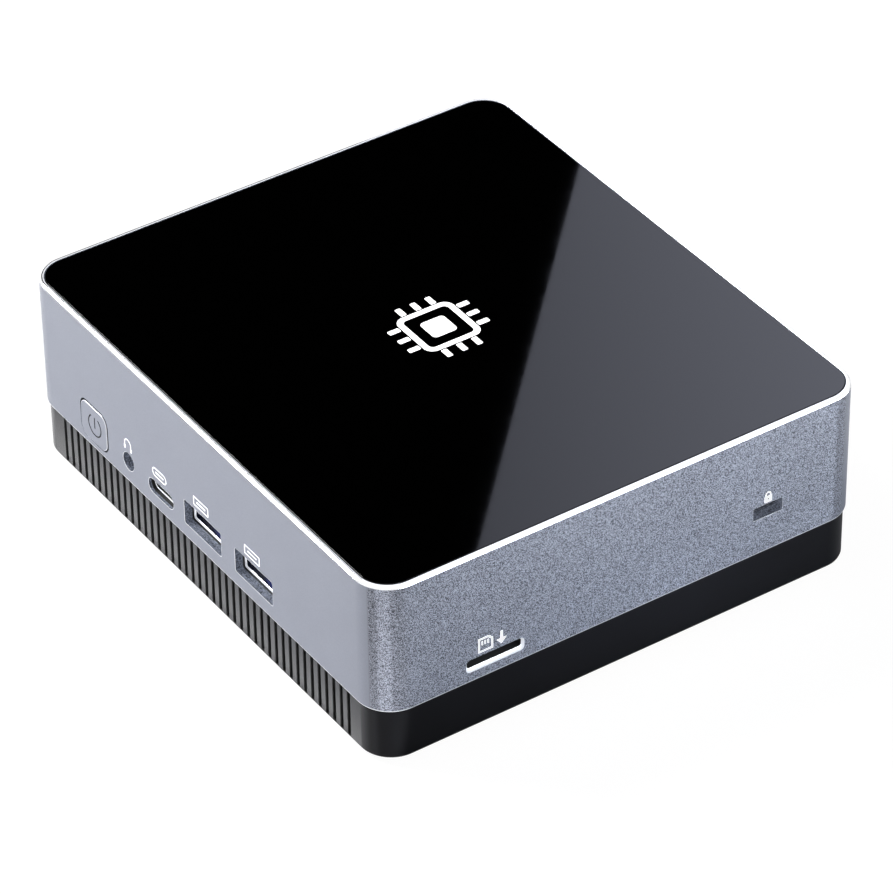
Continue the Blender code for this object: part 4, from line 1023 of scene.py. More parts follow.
def top_mark():
    """A plain chip: a square frame, a square core and short legs on all four sides."""
    side = 13.0 * MM
    line = 1.3 * MM
    shape = bmesh.new()
    outer = rounded_outline(side, side, 2.2 * MM)
    inner = rounded_outline(side - 2 * line, side - 2 * line, 1.1 * MM)
    add_line(shape, outer, inner)
    add_area(shape, rounded_outline(5.6 * MM, 5.6 * MM, 0.9 * MM))
    leg = 2.6 * MM
    reach = side / 2 + leg / 2 + 0.3 * MM
    for step in (-1, 0, 1):
        offset = step * 3.5 * MM
        for side_sign in (-1, 1):
            add_area(shape, bar(line, leg), (offset, side_sign * reach))
            add_area(shape, bar(leg, line), (side_sign * reach, offset))
    return settle_print("top_mark", shape, facing_up(0.0, 0.0, TOP), slot="black_panel")


def socket_mark(shape, centre, width, height, radius):
    """A small picture of a socket: its frame, and its tongue as a bar."""
    line = 0.24 * MM
    outer = rounded_outline(width, height, radius)
    inner = rounded_outline(width - 2 * line, height - 2 * line, max(radius - line, 0.05 * MM))
    add_line(shape, outer, inner, centre)
    add_area(shape, bar(width - 2.2 * MM, 0.36 * MM), centre)


def headphone_mark(shape, centre):
    """A headband with two ear pads."""
    x, z = centre
    radius = 1.15 * MM
    add_area(shape, arc_outline(radius, 0.26 * MM, -20, 200), (x, z + 0.2 * MM))
    for side in (-1, 1):
        pad = rounded_outline(0.5 * MM, 1.0 * MM, 0.2 * MM)
        add_area(shape, pad, (x + side * radius, z - 0.75 * MM))


def front_marks():
    """White pictures over the front ports."""
    shape = bmesh.new()
    for name in ("usb_a_front_1_shell", "usb_a_front_2_shell"):
        port = middle(name)
        socket_mark(shape, (port.x - 0.3 * MM, port.z + 5.0 * MM), 5.4 * MM, 2.2 * MM, 0.2 * MM)
    port = middle("usb_c_front_shell")
    socket_mark(shape, (port.x - 0.3 * MM, port.z + 4.1 * MM), 5.2 * MM, 2.2 * MM, 1.09 * MM)
    jack_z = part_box("audio_jack")[0].z + 2.5 * MM
    headphone_mark(shape, (middle("audio_jack").x, jack_z + 4.0 * MM))
    return settle_print("front_marks", shape, facing_front(0.0, 0.0, FRONT))


def card_mark(shape, centre):
    """A memory card with a cut corner and four contacts, and an arrow towards the slot."""
    x, z = centre
    half_w = 1.7 * MM
    half_h = 1.7 * MM
    cut = 0.9 * MM
    card = [
        (half_w, half_h - cut), (half_w - cut, half_h), (-half_w, half_h),
        (-half_w, -half_h), (half_w, -half_h),
    ]
    line = 0.42 * MM
    share_w = (half_w - line) / half_w
    share_h = (half_h - line) / half_h
    inner = [(u * share_w, v * share_h) for u, v in card]
    add_line(shape, card, inner, (x, z))
    for step in range(3):
        add_area(shape, bar(0.34 * MM, 1.0 * MM), (x + (step - 1.15) * 0.66 * MM, z + 0.4 * MM))
    arrow_x = x + 3.6 * MM
    add_area(shape, bar(0.6 * MM, 1.7 * MM), (arrow_x, z + 0.6 * MM))
    head = [(0.0, -1.1 * MM), (1.2 * MM, 0.2 * MM), (-1.2 * MM, 0.2 * MM)]
    add_area(shape, head, (arrow_x, z - 0.5 * MM))


def padlock_mark(shape, centre):
    """A padlock: a body with a keyhole, under a shackle."""
    x, z = centre
    body = rounded_outline(1.8 * MM, 1.5 * MM, 0.2 * MM, 11)
    add_line(shape, body, rounded_outline(0.4 * MM, 0.5 * MM, 0.19 * MM, 11), (x, z - 0.55 * MM))
    add_area(shape, arc_outline(0.55 * MM, 0.28 * MM, 0, 180), (x, z + 0.55 * MM))
    for side in (-1, 1):
        add_area(shape, bar(0.28 * MM, 0.5 * MM), (x + side * 0.55 * MM, z + 0.37 * MM))


def side_marks():
    """White pictures over the card slot and the lock slot."""
    shape = bmesh.new()
    card = middle("card_socket")
    lock = middle("lock_plate")
    card_mark(shape, (card.y - 2.2 * MM, card.z + 3.4 * MM))
    padlock_mark(shape, (lock.y, lock.z + 3.15 * MM))
    return settle_print("side_marks", shape, facing_right(0.0, 0.0, RIGHT))


def rear_marks():
    """White pictures over the rear ports. X is mirrored, because the rear is seen from behind."""
    shape = bmesh.new()
    for name in ("usb_a_rear_1_shell", "usb_a_rear_2_shell"):
        port = middle(name)
        socket_mark(shape, (-port.x, port.z + 4.8 * MM), 4.6 * MM, 1.9 * MM, 0.2 * MM)
    for name in ("hdmi_1", "hdmi_2"):
        port = middle(name)
        x = -port.x
        z = port.z + 5.0 * MM
        line = 0.26 * MM
        outer = rounded_outline(3.2 * MM, 1.9 * MM, 0.2 * MM)
        inner = rounded_outline(3.2 * MM - 2 * line, 1.9 * MM - 2 * line, 0.1 * MM)
        add_line(shape, outer, inner, (x, z + 0.4 * MM))
        add_area(shape, bar(1.5 * MM, 0.28 * MM), (x, z - 1.0 * MM))
    lan = middle("lan_jack")
    for u, v in ((0.0, 0.55), (-1.1, -0.55), (1.1, -0.55)):
        add_area(shape, bar(0.8 * MM, 0.6 * MM), (-lan.x + u * MM, lan.z + 8.4 * MM + v * MM))
    add_area(shape, bar(2.6 * MM, 0.16 * MM), (-lan.x, lan.z + 8.4 * MM))
    inlet = middle("dc_inlet")
    place = (-inlet.x, inlet.z + 7.6 * MM)
    add_area(shape, circle_outline(0.38 * MM, 24), place)
    add_area(shape, arc_outline(0.95 * MM, 0.26 * MM, -140, 140), place)
    return settle_print(
        "rear_marks", shape, facing_rear(0.0, 0.0, PLATE_OUTSIDE + INK), slot="black_plastic"
    )


# Base


def groove_cutters(looks):
    """Grooves over the whole height of the base's front, each with a window through the wall."""
    shape = bmesh.new()
    windows = bmesh.new()
    face = FRONT + BASE_INSET
    floor = face + GROOVE_DEPTH
    soft = 0.12 * MM
    above = 0.3 * MM
    half = GROOVE_WIDTH / 2
    plan = [
        (half, floor), (-half, floor), (-half, face + soft),
        (-half - soft - above, face - above), (half + soft + above, face - above), (half, face + soft),
    ]
    inner = FRONT + BASE_WALL + 1 * MM
    through = rounded_outline(GROOVE_WIDTH - 0.1 * MM, inner - floor + 0.6 * MM, 0.02 * MM, 1)
    for groove in range(RIB_COUNT):
        x = FIRST_RIB + RIB_PITCH * groove
        low = BASE_LOW.z + 0.45 * MM
        # The grooves and their windows take the second look, black: painted shade.
        add_prism(shape, plan, "Z", low, BASE_BAND_TOP + 0.15 * MM, (x, 0.0), 1)
        centre = (x, (inner + floor - 0.6 * MM) / 2)
        add_prism(windows, through, "Z", FLOOR_TOP + 0.6 * MM, BASE_BAND_TOP - 1.8 * MM, centre, 1)
    return [add_object("grooves", shape, looks), add_object("groove_windows", windows, looks)]


def round_holes(name, looks, places, radius, end, edge=0.0):
    """Upright round cutters from below, with a chamfer at their mouth if they have an edge."""
    shape = bmesh.new()
    mouth = BASE_LOW.z
    bore = circle_outline(radius)
    sections = [(bore, mouth - 1 * MM), (bore, end)]
    if edge > 0.0:
        wide = circle_outline(radius + edge + 0.3 * MM)
        sections[:1] = [(wide, mouth - 0.3 * MM), (bore, mouth + edge)]
    for centre in places:
        add_skin(shape, [on_plane(outline, "Z", level, centre) for outline, level in sections])
    return add_object(name, shape, looks)


def make_base():
    """The black base: ribs with soft edges, vents, and the bosses and recesses of its underside."""
    looks = [moulded_black(), shadow_black()]
    soft = 0.15 * MM
    profile = [
        (FLOOR_TOP, BASE_WALL),
        (BASE_HIGH.z - 1.1 * MM, BASE_WALL),
        (CASE_LOW.z + 0.9 * MM, BASE_WALL - 0.1 * MM),
        (CASE_LOW.z + 0.9 * MM, LIP_INSET + soft),
        (CASE_LOW.z + 0.9 * MM - soft, LIP_INSET),
        (BASE_BAND_TOP, LIP_INSET),
        (BASE_BAND_TOP, BASE_INSET + soft),
        (BASE_BAND_TOP - soft, BASE_INSET),
        (BASE_LOW.z + 0.5 * MM, BASE_INSET),
        (BASE_LOW.z + 0.15 * MM, BASE_INSET + 0.15 * MM),
        (BASE_LOW.z, BASE_INSET + 0.5 * MM),
    ]
    # Painted shade: the two lowest bands, the base's lower edge, take the black second look.
    bands = [0] * (len(profile) - 3) + [1, 1]
    base = plan_solid("base_shell", profile, looks, bands)
    underside = min(base.data.polygons, key=lambda face: (face.center.z, -face.area))
    underside.material_index = 0
    corners = post_places(False)
    inserts = [tuple(middle(f"bracket_insert_{number}").xy) for number in (1, 2)]
    feet = [tuple(middle(f"foot_{number}").xy) for number in range(1, 5)]
    bosses = bmesh.new()
    for centre in corners:
        top = CASE_LOW.z + 1.1 * MM
        add_prism(bosses, circle_outline(4.0 * MM), "Z", FLOOR_TOP - 1 * MM, top, centre)
    for centre in inserts:
        add_prism(bosses, circle_outline(4.0 * MM), "Z", FLOOR_TOP - 1 * MM, FLOOR_TOP + 5 * MM, centre)
    vent_shape = bmesh.new()
    width, length = VENT_SIZE
    for vent in range(VENT_COUNT):
        x = VENT_PITCH * (vent - (VENT_COUNT - 1) / 2)
        edge = 0.25 * MM
        wide = rounded_outline(
            width + 2 * edge + 0.6 * MM, length + 2 * edge + 0.6 * MM, width / 2 + edge + 0.29 * MM
        )
        narrow = rounded_outline(width, length, width / 2 - 0.01 * MM)
        rings = [
            on_plane(wide, "Z", BASE_LOW.z - 0.3 * MM, (x, 0.0)),
            on_plane(narrow, "Z", BASE_LOW.z + edge, (x, 0.0)),
            on_plane(narrow, "Z", FLOOR_TOP + 1 * MM, (x, 0.0)),
        ]
        add_skin(vent_shape, rings)
    cutters = [
        round_holes("counterbores", looks, corners, 3.0 * MM, BASE_LOW.z + 5 * MM, 0.3 * MM),
        round_holes("screw_holes", looks, corners, 1.6 * MM, CASE_LOW.z + 2 * MM),
        round_holes("insert_holes", looks, inserts, 2.5 * MM, FLOOR_TOP + 6 * MM, 0.2 * MM),
        round_holes("foot_recesses", looks, feet, 5.9 * MM, BASE_LOW.z + 0.9 * MM, 0.2 * MM),
        add_object("vents", vent_shape, looks),
        *groove_cutters(looks),
    ]
    carve(base, cutters, [add_object("bosses", bosses, looks)])
    return settle(base, "case", "black_plastic", "bottom_cover")


def turned(name, centre, profile, looks):
    """A solid turned about an upright axis, from heights and radii."""
    shape = bmesh.new()
    add_skin(shape, [on_plane(circle_outline(r), "Z", z, centre) for z, r in profile])
    return add_object(name, shape, looks)


def make_feet():
    """Rubber feet with a ring groove round their middle."""
    for number in range(1, 5):
        low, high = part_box(f"foot_{number}")
        centre = ((low.x + high.x) / 2, (low.y + high.y) / 2)
        radius = (high.x - low.x) / 2
        groove = 0.3 * MM
        profile = [
            (low.z, 2.2 * MM),
            (low.z + groove, 2.4 * MM),
            (low.z + groove, 2.9 * MM),
            (low.z, 3.1 * MM),
            (low.z, radius - 0.8 * MM),
            (low.z + 0.1 * MM, radius - 0.45 * MM),
            (low.z + 0.35 * MM, radius - 0.12 * MM),
            (low.z + 0.7 * MM, radius),
            (high.z, radius),
        ]
        foot = turned(f"foot_pad_{number}", centre, profile, [rubber()])
        settle(foot, "case", "black_rubber", f"foot_{number}")


def make_screw(node, head_height, shank, look, slot):
    """A round-headed screw with a six-lobed socket and ridges for its thread."""
    low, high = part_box(node)
    centre = ((low.x + high.x) / 2, (low.y + high.y) / 2)
    head = (high.x - low.x) / 2
    shape = bmesh.new()

    def ring(z, radius, depth=0.0):
        return on_plane(circle_outline(radius, SIDES, 6, depth), "Z", z, centre)

    rings = [
        ring(low.z + 0.55 * head_height, 0.36 * head, 0.14),
        ring(low.z, 0.4 * head, 0.14),
        ring(low.z, 0.78 * head),
        ring(low.z + 0.12 * head_height, 0.93 * head),
        ring(low.z + 0.4 * head_height, head),
        ring(low.z + head_height, head),
        ring(low.z + head_height, shank),
    ]
    pitch = 0.5 * MM
    z = low.z + head_height + pitch
    while z < high.z - 2 * pitch:
        rings.append(ring(z, 0.84 * shank))
        rings.append(ring(z + pitch / 2, shank))
        z += pitch
    rings.append(ring(high.z - 0.4 * MM, 0.84 * shank))
    rings.append(ring(high.z, 0.5 * shank))
    add_skin(shape, rings)
    settle(add_object(f"{node}_turned", shape, [look]), "case", slot, node)


def make_screws():
    for number in range(1, 5):
        make_screw(f"cover_screw_{number}", 1.6 * MM, 1.25 * MM, blackened_steel(), "blackened_steel")
    for number in range(1, 3):
        make_screw(f"board_screw_{number}", 1.5 * MM, 1.0 * MM, blackened_steel(), "blackened_steel")
    make_screw("ssd_screw", 0.9 * MM, 1.0 * MM, plated_steel(), "plated_steel")


def make_inserts():
    """Knurled brass inserts with a threaded bore."""
    for number in (1, 2):
        node = f"bracket_insert_{number}"
        low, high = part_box(node)
        centre = ((low.x + high.x) / 2, (low.y + high.y) / 2)
        radius = (high.x - low.x) / 2
        bore = 1.65 * MM
        edge = 0.3 * MM
        rings = []
        for z, r, knurl in (
            (low.z, radius - edge, 0.0), (low.z + edge, radius * 0.98, 0.015),
            (high.z - edge, radius * 0.98, 0.015), (high.z, radius - edge, 0.0),
            (high.z, bore + 0.2 * MM, 0.0),
        ):
            rings.append(on_plane(circle_outline(r, 96, 24, knurl), "Z", z, centre))
        turns = 10
        for turn in range(turns):
            z = high.z - 0.2 * MM - (high.z - low.z - 0.4 * MM) * turn / (turns - 1)
            rings.append(on_plane(circle_outline(bore + (turn % 2) * 0.2 * MM, 96), "Z", z, centre))
        rings.append(on_plane(circle_outline(bore + 0.2 * MM, 96), "Z", low.z, centre))
        shape = bmesh.new()
        add_skin(shape, rings, closed=True)
        settle(add_object(f"insert_{number}", shape, [brass()]), "case", "brass", node)


# Rear plate


def make_rear_plate():
    """The black plate behind the rear ports, with edged openings and the exhaust grille."""
    # The openings' inner walls take the third look, black: painted shade.
    looks = [moulded_black(), moulded_black(), shadow_black(), moulded_black()]
    bevel = 0.2 * MM
    half_height = (PLATE_HIGH - PLATE_LOW) / 2
    at_plate = facing_rear(0.0, PLATE_LOW + half_height, PLATE_OUTSIDE)
    face = rounded(2 * PLATE_HALF, 2 * half_height, 1.2 * MM)
    shape = bmesh.new()
    rings = [
        on_plane(face(-bevel), "Y", 0.0),
        on_plane(face(-0.3 * bevel), "Y", 0.3 * bevel),
        on_plane(face(0.0), "Y", bevel),
        on_plane(face(0.0), "Y", PLATE_OUTSIDE - PLATE_INSIDE - 0.4 * MM),
    ]
    add_skin(shape, rings)
    plate = add_object("rear_face", shape, looks, at_plate)
    flange = bmesh.new()
    low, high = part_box("rear_plate")
    board_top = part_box("mainboard")[1].z
    add_block(flange, (low.x, PLATE_INSIDE, board_top + 0.35 * MM), (high.x, BACK - WALL - GAP, high.z))
    usb = middle("usb_a_rear_1_shell")
    usb_2 = middle("usb_a_rear_2_shell")
    hdmi = middle("hdmi_1")
    hdmi_2 = middle("hdmi_2")
    inlet = middle("dc_inlet")
    lan = middle("lan_jack")
    depth = PLATE_OUTSIDE - PLATE_INSIDE + 1 * MM
    at_rear = facing_rear(0.0, 0.0, PLATE_OUTSIDE)
    slots = [(GRILLE_PITCH * (i - (GRILLE_COUNT - 1) / 2), GRILLE_Z) for i in range(GRILLE_COUNT)]
    cutters = [
        opening(
            "rear_usb", rounded(13.7 * MM, 6.3 * MM, 0.5 * MM), at_rear, depth, looks, 0.3 * MM,
            [(-usb.x, usb.z), (-usb_2.x, usb_2.z)],
        ),
        opening(
            "rear_hdmi", lambda grow: hdmi_outline(15.4 * MM, 6.2 * MM, grow), at_rear, depth, looks,
            0.3 * MM, [(-hdmi.x, hdmi.z), (-hdmi_2.x, hdmi_2.z)],
        ),
        opening(
            "rear_inlet", rounded(10.2 * MM, 11.6 * MM, 0.4 * MM), at_rear, depth, looks, 0.3 * MM,
            [(-inlet.x, inlet.z)],
        ),
        opening(
            "rear_lan", rounded(16.6 * MM, 14.1 * MM, 0.4 * MM), at_rear, depth, looks, 0.3 * MM,
            [(-lan.x, lan.z)],
        ),
        opening(
            "rear_grille", rounded(*GRILLE_SLOT, GRILLE_SLOT[0] / 2 - 0.01 * MM), at_rear, depth, looks,
            0.3 * MM, slots,
        ),
    ]
    carve(plate, cutters, [add_object("flange", flange, looks)])
    return settle(plate, "case", "black_plastic", "rear_plate")


# Button and connectors


def make_button():
    """The flush button: a soft-edged cap with an engraved power symbol, its flange and its stem."""
    looks = [anodised(), shadow_black(), button_edge()]
    x, z = button_place()
    low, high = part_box("power_button")
    board_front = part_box("mainboard")[0].y
    cap = rounded(9.8 * MM, 8.6 * MM, 2.2 * MM, 10)
    shift = (-0.4 * MM, -0.4 * MM)
    bevel = 0.14 * MM
    depth = board_front - 0.7 * MM - FRONT
    shape = bmesh.new()
    rings = [
        on_plane(cap(-bevel), "Y", INK, shift),
        on_plane(cap(-0.55 * bevel), "Y", INK + 0.12 * bevel, shift),
        on_plane(cap(-0.15 * bevel), "Y", INK + 0.45 * bevel, shift),
        on_plane(cap(0.0), "Y", bevel + INK, shift),
        on_plane(cap(0.0), "Y", depth, shift),
    ]
    # Painted shade: the cap's sides take the black second look, so the gap round it reads dark.
    add_skin(shape, rings, (2, 2, 2, 1))
    face_cap = max(shape.faces, key=lambda face: (len(face.verts), -face.verts[0].co.y))
    face_cap.material_index = 0
    button = add_object("button_cap", shape, looks, facing_front(x, z, FRONT))
    back = bmesh.new()
    add_block(
        back,
        (low.x, FRONT + WALL + GAP, low.z),
        (high.x, board_front - 0.5 * MM, high.z),
    )
    flange = add_object("button_flange", back, looks)
    rod = bmesh.new()
    stem_z = middle("switch_plunger").z
    add_prism(rod, circle_outline(1.5 * MM, 32), "Y", board_front - 0.65 * MM, high.y, (x, stem_z))
    stem = add_object("button_stem", rod, looks)
    symbol = bmesh.new()
    symbol_z = z - 0.3 * MM
    line = 0.34 * MM
    engraved = 0.14 * MM
    ring = arc_outline(2.35 * MM, line, 122, 418, 48)
    # The engraved symbol's walls take the black second look: painted shade.
    add_prism(symbol, ring, "Y", FRONT - 0.3 * MM, FRONT + engraved, (x, symbol_z), 1)
    upright = rounded_outline(line, 2.7 * MM, 0.4 * line, 3)
    add_prism(
        symbol, upright, "Y", FRONT - 0.3 * MM, FRONT + engraved, (x, symbol_z + 0.65 * MM), 1
    )
    carve(button, [add_object("symbol", symbol, looks)], [flange, stem])
    return settle(button, "power_button", "anodised_silver", "power_button")


def spring_finger(shape, u, wall, sign, width):
    """A bent strip of the shell that presses on the plug. sign is the way it bends."""
    sheet = 0.2 * MM
    path = ((8.3, -0.25), (6.6, 0.12), (4.6, 0.5), (3.6, 0.5), (2.6, 0.2))
    line = [(d * MM, wall + sign * rise * MM) for d, rise in path]
    back = [(d, w - sign * sheet) for d, w in reversed(line)]
    profile = line + back
    add_skin(shape, [[(level, d, w) for d, w in profile] for level in (u - width / 2, u + width / 2)])


def usb_a_shell(node, place, depth, nose):
    """A full-size port's folded steel shell, with spring fingers in its upper and lower wall.

    nose is how far its lip stands out past the connector's face.
    """
    sheet = 0.3 * MM
    width = 12.9 * MM
    height = 5.3 * MM
    outer = rounded(width, height, 0.6 * MM)
    inner = rounded(width - 2 * sheet, height - 2 * sheet, 0.3 * MM)
    shape = bmesh.new()
    add_cup(shape, outer, inner, depth + nose, depth + nose - 0.5 * MM, 0.4 * MM)
    further_out = place @ Matrix.Translation((0.0, -nose, 0.0))
    shell = add_object(f"{node}_drawn", shape, [plated_steel(), rolled_lip()], further_out)
    windows = bmesh.new()
    fingers = bmesh.new()
    for u in (-3.1 * MM, 3.1 * MM):
        for sign in (-1, 1):
            w = sign * (height / 2 - sheet / 2)
            low = (u - 1.25 * MM, 2.2 * MM, w - sheet)
            high = (u + 1.25 * MM, 8.2 * MM, w + sheet)
            add_block(windows, low, high)
            spring_finger(fingers, u, sign * (height / 2 - sheet), -sign, 1.7 * MM)
    carve(shell, [add_object(f"{node}_windows", windows, [plated_steel(), rolled_lip()], place)])
    settle(shell, "case", "plated_steel", node)
    springs = add_object(f"{node}_springs", fingers, [plated_steel()], place)
    settle(springs, "case", "plated_steel")


def usb_a_core(node, place, depth):
    """The port's insulator: a block at the back, and the tongue with its gold contacts."""
    back = depth - 0.8 * MM
    block_front = back - 3.5 * MM
    shape = bmesh.new()
    for outline, start, end, w in (
        (rounded(11.8 * MM, 4.3 * MM, 0.2 * MM), block_front, back, 0.0),
        (rounded(11.1 * MM, 1.84 * MM, 0.15 * MM), 1.2 * MM, block_front + 0.5 * MM, 1.1 * MM),
        (rounded(11.6 * MM, 0.7 * MM, 0.25 * MM), 0.0, 1.9 * MM, -1.7 * MM),
    ):
        add_nosed(shape, outline, start, end, 0.25 * MM, 0.125 * MM, (0.0, w))
    settle(
        add_object(f"{node}_moulded", shape, [navy_insulator()], place), "case", "blue_insulator", node
    )
    contacts = bmesh.new()
    under = 1.1 * MM - 0.92 * MM
    for u in (-3.5, -1.0, 1.0, 3.5):
        low = under - 0.015 * MM
        add_strip(contacts, u * MM, low, 3.4 * MM, block_front, 0.5 * MM, 0.065 * MM)
    for u in (-4.0, -2.0, 0.0, 2.0, 4.0):
        low = under - 0.005 * MM
        add_strip(contacts, u * MM, low, 1.6 * MM, 2.8 * MM, 0.3 * MM, 0.055 * MM)
    settle(add_object(f"{node}_contacts", contacts, [gold_contact()], place), "case", "brass")


def make_usb_a_ports():
    for where, facing in (("front", facing_front), ("rear", facing_rear)):
        for number in (1, 2):
            node = f"usb_a_{where}_{number}"
            low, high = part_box(f"{node}_shell")
            face = low.y if where == "front" else high.y
            place = facing((low.x + high.x) / 2, (low.z + high.z) / 2, face)
            nose = 0.5 * MM if where == "front" else 0.0
            usb_a_shell(f"{node}_shell", place, high.y - low.y, nose)
            usb_a_core(f"{node}_core", place, high.y - low.y)


def make_usb_c_port():
    """The small oval port: a drawn steel shell, and its thin tongue with contacts on both faces."""
    low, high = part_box("usb_c_front_shell")
    depth = high.y - low.y
    place = facing_front((low.x + high.x) / 2, (low.z + high.z) / 2, low.y)
    nose = 1.25 * MM
    shape = bmesh.new()
    outer = rounded(8.8 * MM, 2.9 * MM, 1.44 * MM, 12)
    inner = rounded(8.2 * MM, 2.3 * MM, 1.14 * MM, 12)
    add_cup(shape, outer, inner, depth + nose, depth + nose - 0.5 * MM, 0.12 * MM)
    further_out = place @ Matrix.Translation((0.0, -nose, 0.0))
    shell = add_object("usb_c_shell_drawn", shape, [plated_steel(), rolled_lip()], further_out)
    settle(shell, "case", "plated_steel", "usb_c_front_shell")
    core = bmesh.new()
    back = depth - 0.8 * MM
    add_prism(core, rounded_outline(7.4 * MM, 2.0 * MM, 0.9 * MM), "Y", back - 1.5 * MM, back)
    tongue = rounded(6.6 * MM, 0.7 * MM, 0.3 * MM)
    add_nosed(core, tongue, 0.8 * MM, back - 0.7 * MM, 0.2 * MM, 0.15 * MM)
    moulded = add_object("usb_c_core_moulded", core, [black_insulator()], place)
    settle(moulded, "case", "black_insulator", "usb_c_front_core")
    contacts = bmesh.new()
    for step in range(12):
        u = (step - 5.5) * 0.5 * MM
        for w in (-0.36 * MM, 0.36 * MM):
            add_strip(contacts, u, w, 1.3 * MM, 4.6 * MM, 0.13 * MM, 0.04 * MM)
    settle(add_object("usb_c_contacts", contacts, [gold_contact()], place), "case", "brass")


def make_audio_jack():
    """The headphone jack: a moulded body with a round bore, a steel collar and three springs."""
    low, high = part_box("audio_jack")
    x = (low.x + high.x) / 2
    z = low.z + 2.5 * MM
    place = facing_front(x, z, low.y)
    looks = [black_insulator()] * 5
    shape = bmesh.new()
    add_block(shape, low, high, 0.4 * MM)
    body = add_object("jack_moulded", shape, looks)
    bore = opening("jack_bore", circle(1.8 * MM), place, 11.4 * MM, looks, 0.15 * MM)
    carve(body, [bore])
    settle(body, "case", "black_insulator", "audio_jack")
    collar = bmesh.new()
    add_frame(collar, circle_outline(1.98 * MM), circle_outline(1.75 * MM), -0.05 * MM, 1.6 * MM)
    settle(add_object("jack_collar", collar, [plated_steel()], place), "case", "plated_steel")
    springs = bmesh.new()
    for d, sign in ((3.4 * MM, -1), (6.4 * MM, 1), (9.4 * MM, -1)):
        u = sign * 1.5 * MM
        add_strip(springs, u, 0.0, d, d + 1.4 * MM, 0.15 * MM, 0.5 * MM, 0.1 * MM)
    settle(add_object("jack_springs", springs, [gold_contact()], place), "case", "brass")


def make_card_reader():
    """The card socket: a steel shell with contacts, and the slider in it."""
    low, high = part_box("card_socket")
    place = facing_right((low.y + high.y) / 2, (low.z + high.z) / 2, high.x)
    depth = high.x - low.x
    shape = bmesh.new()
    outer = rounded(high.y - low.y, high.z - low.z, 0.2 * MM)
    inner = rounded(11.6 * MM, 1.3 * MM, 0.15 * MM)
    add_cup(shape, outer, inner, depth, depth - 0.8 * MM, 0.08 * MM)
    shell = add_object("card_socket_drawn", shape, [blackened_steel(), blackened_steel()], place)
    settle(shell, "case", "plated_steel", "card_socket")
    contacts = bmesh.new()
    for step in range(8):
        u = (step - 3.5) * 1.1 * MM
        add_strip(contacts, u, -0.59 * MM, 4.6 * MM, 7.4 * MM, 0.25 * MM, 0.07 * MM)
    settle(add_object("card_contacts", contacts, [gold_contact()], place), "case", "brass")
    slide_low, slide_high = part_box("card_slider")
    slide = bmesh.new()
    add_block(slide, slide_low, slide_high, 0.2 * MM)
    slider = add_object("card_slider_moulded", slide, [black_insulator()])
    settle(slider, "card_slider", "black_insulator", "card_slider")


def make_dc_inlet():
    """The power inlet: a moulded block with a round well, a centre pin and a side spring."""
    low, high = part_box("dc_inlet")
    place = facing_rear((low.x + high.x) / 2, (low.z + high.z) / 2, high.y)
    looks = [black_insulator()] * 5
    shape = bmesh.new()
    add_block(shape, low, high, 0.4 * MM)
    body = add_object("inlet_moulded", shape, looks)
    carve(body, [opening("inlet_well", circle(3.15 * MM), place, 9.5 * MM, looks, 0.25 * MM)])
    settle(body, "case", "black_insulator", "dc_inlet")
    pin = bmesh.new()
    rings = [
        on_plane(circle_outline(radius, 32), "Y", d)
        for d, radius in (
            (1.0 * MM, 0.35 * MM), (1.15 * MM, 0.75 * MM), (1.5 * MM, 1.0 * MM), (10.2 * MM, 1.0 * MM)
        )
    ]
    add_skin(pin, rings)
    add_block(pin, (-0.9 * MM, 2.2 * MM, -3.05 * MM), (0.9 * MM, 8.8 * MM, -2.75 * MM), 0.2 * MM)
    settle(add_object("inlet_pin", pin, [plated_steel()], place), "case", "plated_steel")


def make_hdmi_ports():
    """Two display connectors: a drawn shell, a tongue, and contacts on both of its faces."""
    for number in (1, 2):
        node = f"hdmi_{number}"
        low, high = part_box(node)
        depth = high.y - low.y
        place = facing_rear((low.x + high.x) / 2, (low.z + high.z) / 2, high.y)
        shape = bmesh.new()
        add_cup(
            shape,
            lambda grow: hdmi_outline(14.8 * MM, 5.6 * MM, grow),
            lambda grow: hdmi_outline(14.0 * MM, 4.8 * MM, grow),
            depth,
            depth - 1.5 * MM,
            0.15 * MM,
        )
        shell = add_object(f"{node}_drawn", shape, [plated_steel(), rolled_lip()], place)
        settle(shell, "case", "plated_steel", node)
        tongue = bmesh.new()
        outline = rounded(11.3 * MM, 1.0 * MM, 0.2 * MM)
        centre = (0.0, 0.3 * MM)
        add_nosed(tongue, outline, 1.2 * MM, depth - 1.2 * MM, 0.25 * MM, 0.15 * MM, centre)
        settle(
            add_object(f"{node}_tongue", tongue, [black_insulator()], place), "case", "black_insulator"
        )
        contacts = bmesh.new()
        for step in range(10):
            for sign in (-1, 1):
                u = (step - 4.5) * 1.0 * MM + sign * 0.25 * MM
                w = 0.3 * MM + sign * 0.52 * MM
                add_strip(contacts, u, w, 1.9 * MM, 8.0 * MM, 0.22 * MM, 0.05 * MM)
        settle(add_object(f"{node}_contacts", contacts, [gold_contact()], place), "case", "brass")


